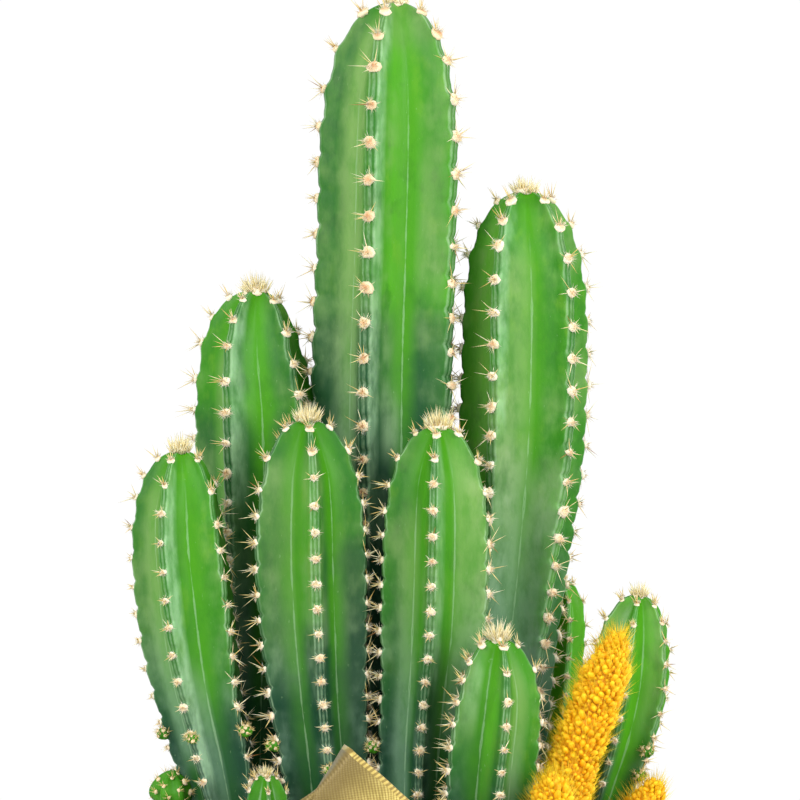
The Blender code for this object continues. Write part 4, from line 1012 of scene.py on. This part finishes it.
def rounded(profile, radius):
    """A profile with each inner corner replaced by an arc-like run of points: a quadratic Bezier curve
    that leaves and meets the two sides at the radius from the corner."""
    profile = np.array(profile, float)
    points = [profile[0]]
    for before, corner, after in zip(profile, profile[1:], profile[2:]):
        start, end = (corner + unit(side - corner) * min(radius, np.linalg.norm(side - corner) / 2.2)
                      for side in (before, after))
        for u in np.linspace(0, 1, CORNER_STEPS):
            points.append((1 - u) ** 2 * start + 2 * u * (1 - u) * corner + u**2 * end)
    return np.array(points + [profile[-1]])


def pot_outer_radius(z):
    """Radius of the tapered body below the rim."""
    return POT_FOOT_RADIUS + (POT_BODY_TOP_RADIUS - POT_FOOT_RADIUS) * z / (POT_TOP - RIM_HEIGHT)


def pot_inner_radius(z):
    """The inner wall runs straight from the floor to the lip."""
    low = POT_FOOT_RADIUS - POT_WALL
    return low + (RIM_RADIUS - POT_WALL - low) * (z - POT_FLOOR) / (POT_TOP - POT_FLOOR)


def turned_pot():
    """The pot's profile from the middle of its floor, up the inner wall, over the lip and down the outer
    side to the middle of the foot, carried round a circle. The radius wavers by a fraction of a mm."""
    rim_bottom = POT_TOP - RIM_HEIGHT
    profile = rounded([
        (0.4 * MM, POT_FLOOR), (pot_inner_radius(POT_FLOOR), POT_FLOOR), (pot_inner_radius(POT_TOP), POT_TOP),
        (RIM_RADIUS, POT_TOP), (RIM_LOWER_RADIUS, rim_bottom), (POT_BODY_TOP_RADIUS, rim_bottom),
        (pot_outer_radius(0.0), 0.0), (0.4 * MM, 0.0)], 2.2 * MM)
    lengths = travelled(profile)
    at = np.unique(np.concatenate((lengths, np.arange(0, lengths[-1], 4 * MM))))
    radius, z = (np.interp(at, lengths, column)[:, None] for column in profile.T)
    grid = polar(turns(POT_SIDES), radius, z)
    waver = 1 + 0.002 * value_noise(grid, 45 * MM, 5) * smooth_step(0.0, 8 * MM, grid[..., 2])
    grid[..., :2] *= waver[..., None]
    return tube(grid, ((0, 0, POT_FLOOR), (0, 0, 0)), quads=True)


def cut_drain_holes(pot):
    """Cut the drain holes with one Boolean and keep its result as the pot's mesh."""
    levels = np.array((2 * POT_FLOOR, -POT_FLOOR))[:, None]
    cylinder = tube(polar(turns(HOLE_SIDES), DRAIN_HOLE_RADIUS, levels), polar(0.0, 0.0, levels[:, 0]))
    middles = polar(turns(DRAIN_HOLES) + math.pi / DRAIN_HOLES, DRAIN_CIRCLE_RADIUS)
    points, faces, _ = copies(cylinder, middles, np.tile(np.eye(3), (DRAIN_HOLES, 1, 1)), 0.0)
    mesh = bpy.data.meshes.new("drain_cutter")
    mesh.from_pydata(points.tolist(), [], faces.tolist())
    cutter = new_object("drain_cutter", mesh)
    cut = pot.modifiers.new("drain holes", "BOOLEAN")
    cut.object = cutter
    cut.solver = "MANIFOLD"
    result = bpy.data.meshes.new_from_object(pot.evaluated_get(bpy.context.evaluated_depsgraph_get()))
    pot.modifiers.clear()
    pot.data = result
    result.shade_smooth()
    result.set_sharp_from_angle(angle=math.radians(40))
    bpy.data.objects.remove(cutter, do_unlink=True)


class CACTUS_OT_fill_soil(bpy.types.Operator):
    """Fill the pot with crumbly peat soil"""
    bl_idname = "cactus.fill_soil"
    bl_label = "Fill Soil"

    def execute(self, context):
        look = context.scene.cactus_soil
        # Moist crumbled peat: dull brown, with white grains of perlite at its highest tone
        material = toned_material("peat soil", (
            (0.0, "#1E130C"), (0.45, "#3B281B"), (0.8, "#5E4632"), (1.0, "#E4DED0")), 0.95)
        new_piece("soil_peat", joined(soil_body(), soil_crumbs(look, np.random.default_rng(8))), material,
                  "soil", ("soil",))
        return {"FINISHED"}


def on_soil(points):
    """Points set at the soil's height: a low mound with lumps of three sizes."""
    flat = points * (1, 1, 0)
    mound = 2.5 * MM * (1 - np.sum(flat**2, axis=-1) / pot_inner_radius(SOIL_TOP) ** 2)
    lumps = sum(high * value_noise(flat, size * MM, seed) for high, size, seed in (
        (1.3, 13, 31), (0.7, 4.5, 32), (0.35, 1.8, 33)))
    flat[..., 2] = SOIL_TOP + mound + lumps * MM
    return flat


def soil_body():
    """Rings from the middle out to the pot's wall, at the lumpy height, then down the wall to the floor."""
    radius = (pot_inner_radius(SOIL_TOP) - SEAT_GAP) * np.linspace(0.01, 1, SOIL_RINGS)
    bottom = POT_FLOOR + SEAT_GAP
    around = turns(SOIL_SIDES)
    foot = polar(around, pot_inner_radius(bottom) - SEAT_GAP, bottom)
    grid = np.concatenate((on_soil(polar(around, radius[:, None])), foot[None]))
    points, faces = tube(grid, (on_soil(np.zeros((1, 3)))[0], (0, 0, bottom)))
    return points, faces, 0.3 + 0.3 * value_noise(points, 6 * MM, 34)


def soil_crumbs(look, draw):
    """Loose crumbs, most of them peat and a few of white perlite, spread evenly over the soil."""
    number = look.crumbs
    far = np.sqrt(draw.random(number)) * (pot_inner_radius(SOIL_TOP) - 2.5 * MM)
    place = on_soil(polar(draw.uniform(0, 2 * np.pi, number), far))
    size = look.crumb_size / 2 * np.exp(draw.normal(0, 0.42, number))
    place[:, 2] += 0.25 * size
    axes = np.linalg.qr(draw.normal(0, 1, (number, 3, 3)))[0]
    axes = axes * (size * np.linalg.det(axes))[:, None, None] * draw.uniform(0.65, 1.2, (number, 3, 1))
    perlite = draw.random(number) < 0.035
    tone = np.where(perlite, 1.2, draw.uniform(0.15, 0.75, number))
    ball = unit_ball(*CRUMB_BALL)
    points, faces, tone = copies(ball, place, axes, tone)
    centres = np.repeat(place, len(ball[0]), axis=0)
    rough = 1 + 0.35 * value_noise(points, 0.9 * MM, 35)
    return centres + (points - centres) * rough[:, None], faces, tone


class CACTUS_OT_stand_golden_heads(bpy.types.Operator):
    """Stand the dried golden grass heads among the stems"""
    bl_idname = "cactus.stand_golden_heads"
    bl_label = "Stand Golden Heads"

    def execute(self, context):
        look = context.scene.cactus_grass
        # Dried and dyed grain: yellow through and through, so that light glows in the thin husks
        material = toned_material("dyed dry grass", (
            (0.0, "#A86600"), (0.3, "#D49200"), (0.6, "#E6A800"), (1.0, "#F2C01A")), 0.6, 0.45, 2.5 * MM)
        for number, name in enumerate(GOLDEN_HEADS):
            head = golden_head(name, look, np.random.default_rng(300 + number))
            new_piece(f"{name}_grain", head, material, "golden_grass", (name,))
        return {"FINISHED"}


def golden_head(name, look, draw):
    """Grains on a golden-angle spiral round a bent axis, each with bristles that slant upwards, over a slim
    core that runs on as the stalk. The head swells from the stalk and rounds off at its tip."""
    axis_points, start, radius = GOLDEN_HEADS[name]
    axis_points = np.array(axis_points, float) * MM
    start, radius = start * MM, radius * MM
    top = axis_points[-1, 2]
    length = top - start

    def centre(z):
        return smooth_between(axis_points[:, 2], axis_points, z)

    def head_radius(z):
        share = np.clip((z - start) / length, 0, 1)
        swell = np.sin(np.pi / 2 * np.clip(share / 0.2, 0, 1))
        taper = (1 - np.clip((share - 0.65) / 0.35, 0, 1) ** 2) ** 0.8
        clumps = 1 + 0.10 * np.sin(share * length / (2.1 * MM)) * np.sin(share * length / (5.3 * MM) + 1)
        return 0.8 * MM + (radius - look.grain_size * 0.4 - 0.8 * MM) * swell * taper * clumps

    number = int(2 * np.pi * radius * length / (look.grain_size * 0.82) ** 2)
    z = start + length * (np.arange(number) + 0.5) / number
    turn = np.arange(number) * GOLDEN_ANGLE + draw.normal(0, 0.05, number)
    away = polar(turn)
    bunch = np.stack((turn * 3 * MM, z, 0 * z), axis=-1)
    far = head_radius(z) * draw.uniform(0.9, 1.05, number) + 0.9 * MM * value_noise(bunch, 4.5 * MM, 51)
    place = centre(z) + away * far[:, None]
    slope = np.clip((head_radius(z - 1 * MM) - head_radius(z + 1 * MM)) / (2 * MM), -1, 3)
    way = unit(away + polar(0.0, 0.0, slope + 0.7))
    size = look.grain_size / 2 * draw.uniform(0.55, 1.2, number)
    lean = unit(way + draw.normal(0, 0.25, (number, 3)))
    ball = unit_ball(*GRAIN_BALL)
    points, faces, tone = copies(ball, place, axes_about(lean, size * 0.85, size * 1.6),
                                 np.clip(draw.normal(0.66, 0.16, number), 0.1, 1))
    grains = (points, faces, tone + 0.25 * np.tile(ball[0][:, 2], number) - 0.1)

    count = number * BRISTLES
    lean = unit(np.repeat(way, BRISTLES, axis=0) + (0, 0, 0.45) + draw.normal(0, 0.28, (count, 3)))
    long = look.bristle_length * draw.uniform(0.6, 1.4, count)
    foot = np.repeat(place, BRISTLES, axis=0)
    bristles = needles(foot, lean, 0.13 * MM, long, draw.uniform(0.45, 0.95, count))

    core_z = np.linspace(top - 1 * MM, axis_points[0, 2], STALK_RINGS)
    thick = np.where(core_z > start, np.maximum(head_radius(core_z) - 0.4 * MM, 0.5 * MM), STALK_RADIUS)
    core = tube(centre(core_z)[:, None] + polar(turns(STALK_SIDES), thick[:, None]), centre(core_z[[0, -1]]))
    return joined(grains, bristles, (*core, np.full(len(core[0]), 0.35)))


class CACTUS_OT_tie_ribbon(bpy.types.Operator):
    """Tie the gold ribbon round the pot, with its bow"""
    bl_idname = "cactus.tie_ribbon"
    bl_label = "Tie Ribbon"

    def execute(self, context):
        look = context.scene.cactus_ribbon
        material = woven_gold_grosgrain(look)
        block, weave = band_strip(look)
        band = new_piece("ribbon_band_weave", block, material, "gold_ribbon", ("ribbon_band",), weave=weave)
        for name, row in BOW_STRIPS.items():
            block, weave, fold, run = bow_strip(*row, look)
            strip = new_piece(name, block, material, "gold_ribbon", ("ribbon_bow",), weave=weave, fold=fold)
        block, weave = ribbon_knot()
        new_piece("ribbon_knot", block, material, "gold_ribbon", ("ribbon_bow",), weave=weave)
        return {"FINISHED"}


def strip_section(count):
    """Places across a strip from -1 to 1 and back, and which face they lie on: 1 in front, -1 behind."""
    front = np.linspace(-1, 1, count)
    return np.concatenate((front, front[::-1])), np.repeat((1.0, -1.0), count)


def bow_strip(points, across_at, gathered, look):
    """A ribbon carried along a smooth line. Where it is gathered at the knot it narrows into pleats, a wave
    across it that is deep enough to keep its width: depth = spacing / pi times the square root of
    (full width / narrowed width - 1)."""
    points = np.array(points, float) * MM
    knots = np.arange(len(points))
    places = np.linspace(0, knots[-1], 400)
    lengths = travelled(smooth_between(knots, points, places))
    run = lengths[-1]
    rows = int(run / (1 * MM))
    centre = smooth_between(knots, points, np.interp(np.linspace(0, run, rows), lengths, places))
    along = unit(np.gradient(centre, axis=0))
    share = np.linspace(0, 1, rows)
    across = smooth_between(np.linspace(0, 1, len(across_at)), across_at, share)
    across = unit(across - along * np.sum(across * along, axis=1, keepdims=True))
    normal = np.cross(along, across)
    loop = gathered == "both ends"
    spread = np.sin(np.pi * share) ** 0.7 if loop else np.clip(2.5 * share, 0, 1)
    narrow = (NARROW_AT_KNOT + (1 - NARROW_AT_KNOT) * spread)[:, None]
    side, face = strip_section(STRIP_COLUMNS)
    depth = RIBBON_WIDTH * narrow / PLEATS / np.pi * np.sqrt(np.maximum(1 / narrow - 1, 0))
    lift = depth * np.sin(PLEATS * np.pi * (side + 1)) + face * look.thickness / 2
    grid = (centre[:, None] + across[:, None] * (side * narrow * RIBBON_WIDTH / 2)[..., None]
            + normal[:, None] * lift[..., None])
    flat_side, flat_far = np.broadcast_arrays(side * RIBBON_WIDTH / 2, np.linspace(0, run, rows)[:, None])
    lean = CORD_LEAN[0] * flat_side - CORD_LEAN[1] * flat_far
    weave = np.stack((flat_side, flat_far, lean), axis=-1).reshape(-1, 3)
    weave = np.concatenate((weave, ((0, 0, 0), (0, run, run))))
    # Painted shade: strongest at the middle of each loop, where it folds over
    fold = np.exp(-((flat_far.ravel() - run / 2) / (17 * MM)) ** 2) * loop
    return tube(grid, centre[[0, -1]]), weave, np.append(fold, (0, 0)), run


def band_strip(look):
    """A closed loop round the pot's tapered body, with its weave: the section goes down the front face and
    up the back one."""
    side, face = strip_section(BAND_COLUMNS)
    z = BAND_MIDDLE - side * RIBBON_WIDTH / 2
    radius = pot_outer_radius(z) + 0.33 * MM + (face + 1) / 2 * look.thickness
    around = turns(BAND_SIDES)
    grid = polar(around, radius[:, None], z[:, None])
    index = np.arange(grid.size // 3).reshape(grid.shape[:2])
    right, down = np.roll(index, -1, axis=1), np.roll(index, -1, axis=0)
    quads = np.stack((index, down, np.roll(right, -1, axis=0), right), axis=-1).reshape(-1, 4)
    far = around * pot_outer_radius(BAND_MIDDLE)
    weave = np.stack(np.broadcast_arrays(side[:, None] * RIBBON_WIDTH / 2, far, far), axis=-1)
    return (grid.reshape(-1, 3), quads), weave.reshape(-1, 3)


def ribbon_knot():
    """The strip pulled round the middle of the bow, with its weave: a rounded box, swollen in front and
    pinched by folds that run up it."""
    band_front = pot_outer_radius(BAND_TOP) + 1.4 * MM
    middle = np.array((KNOT_X, -band_front - KNOT_SIZE[1] / 2, BAND_MIDDLE + 6 * MM))
    rows, around = KNOT_BALL[0], turns(KNOT_BALL[1])
    down = (np.pi * (np.arange(rows) + 0.5) / rows)[:, None]

    def squared(value, power):
        return np.sign(value) * np.abs(value) ** power

    ring = np.sin(down) ** 0.5
    grid = np.stack(np.broadcast_arrays(
        ring * squared(np.cos(around), 0.55), ring * squared(np.sin(around), 0.55),
        squared(np.cos(down), 0.8)), axis=-1)
    folds = 1 + 0.05 * np.cos(around * 14) * (1 - grid[..., 2] ** 2)
    grid = grid * np.stack((folds, folds, np.ones_like(folds)), axis=-1)
    points, faces = tube(grid, ((0, 0, 1), (0, 0, -1)))
    points = points * (np.array(KNOT_SIZE) / 2) + middle
    far = points[:, 2]
    return (points, faces), np.stack((0.7 * (points[:, 0] - KNOT_X), far, far), axis=-1)


class CACTUS_OT_set_stage(bpy.types.Operator):
    """Set the pale floor, the soft studio light and the camera"""
    bl_idname = "cactus.set_stage"
    bl_label = "Set Stage"

    def execute(self, context):
        scene = context.scene
        look = scene.cactus_stage
        # A painted floor, matt and pale, that fades out into the surround
        material, tree = new_material("pale studio floor", {"Base Color": rgba(look.floor), "Roughness": 0.9})
        coordinates = add_node(tree, "TexCoord", output="Object")
        far = add_node(tree, "VectorMath", (coordinates,), "Value", operation="LENGTH")
        linked(material, {"Alpha": product(tree, (far, 0.4 * FLOOR_RADIUS, FLOOR_RADIUS, 1.0, 0.0))})
        mesh = bpy.data.meshes.new("floor")
        ring = polar(turns(FLOOR_SIDES), FLOOR_RADIUS)
        mesh.from_pydata(ring.tolist(), [], [range(FLOOR_SIDES)])
        mesh.materials.append(material)
        new_object("floor", mesh)

        world = bpy.data.worlds.new("white surround")
        world.use_nodes = True
        background = world.node_tree.nodes["Background"]
        background.inputs["Color"].default_value = (1, 1, 1, 1)
        background.inputs["Strength"].default_value = look.sky
        scene.world = world
        add_soft_light(scene, "right_soft_box", (1.25, -0.9, 0.95), look.right_power)
        add_soft_light(scene, "left_soft_box", (-0.96, -1.15, 0.95), look.left_power)
        add_soft_light(scene, "front_soft_box", (0.1, -1.7, 1.0), look.front_power)

        camera = bpy.data.objects.new("camera", bpy.data.cameras.new("camera"))
        camera.data.sensor_width = SENSOR_WIDTH
        camera.data.lens = SENSOR_WIDTH * VIEW_DISTANCE / VIEW_WIDTH
        camera.location = (0, -VIEW_DISTANCE * math.cos(VIEW_ELEVATION),
                           VIEW_HEIGHT + VIEW_DISTANCE * math.sin(VIEW_ELEVATION))
        camera.rotation_euler = (math.pi / 2 - VIEW_ELEVATION, 0, 0)
        scene.collection.objects.link(camera)
        scene.camera = camera
        scene.view_settings.view_transform = "Standard"
        return {"FINISHED"}


def add_soft_light(scene, name, place, power):
    """A tall soft box that faces the middle of the plant."""
    light = bpy.data.objects.new(name, bpy.data.lights.new(name, "AREA"))
    light.data.energy = power
    light.data.shape = "RECTANGLE"
    light.data.size = 0.7
    light.data.size_y = 1.3
    light.location = place
    way = Vector((0, 0, VIEW_HEIGHT)) - light.location
    light.rotation_euler = way.to_track_quat("-Z", "Y").to_euler()
    scene.collection.objects.link(light)


LOOKS = {
    "cactus_stems": StemLook,
    "cactus_pot": PotLook,
    "cactus_soil": SoilLook,
    "cactus_grass": GrassLook,
    "cactus_ribbon": RibbonLook,
    "cactus_stage": StageLook,
}
OPERATORS = (
    CACTUS_OT_set_stage,
    CACTUS_OT_turn_pot,
    CACTUS_OT_fill_soil,
    CACTUS_OT_grow_stems,
    CACTUS_OT_stand_golden_heads,
    CACTUS_OT_tie_ribbon,
)


class CACTUS_PT_sidebar(bpy.types.Panel):
    """The cactus tools"""
    bl_idname = "CACTUS_PT_sidebar"
    bl_label = "Potted Cactus"
    bl_space_type = "VIEW_3D"
    bl_region_type = "UI"
    bl_category = "Cactus"

    def draw(self, context):
        for operator in OPERATORS:
            self.layout.operator(operator.bl_idname)
        for key in LOOKS:
            box = self.layout.box()
            look = getattr(context.scene, key)
            for value in look.bl_rna.properties.keys():
                if value not in ("rna_type", "name"):
                    box.prop(look, value)


CLASSES = (*LOOKS.values(), *OPERATORS, CACTUS_PT_sidebar)


def register():
    for made in CLASSES:
        bpy.utils.register_class(made)
    for key, look in LOOKS.items():
        setattr(bpy.types.Scene, key, bpy.props.PointerProperty(type=look))


def unregister():
    for key in LOOKS:
        delattr(bpy.types.Scene, key)
    for made in reversed(CLASSES):
        bpy.utils.unregister_class(made)


def main():
    register()
    bpy.ops.cactus.set_stage()
    bpy.ops.cactus.turn_pot()
    bpy.ops.cactus.fill_soil()
    bpy.ops.cactus.grow_stems()
    bpy.ops.cactus.stand_golden_heads()
    bpy.ops.cactus.tie_ribbon()
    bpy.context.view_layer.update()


if __name__ == "__main__":
    main()
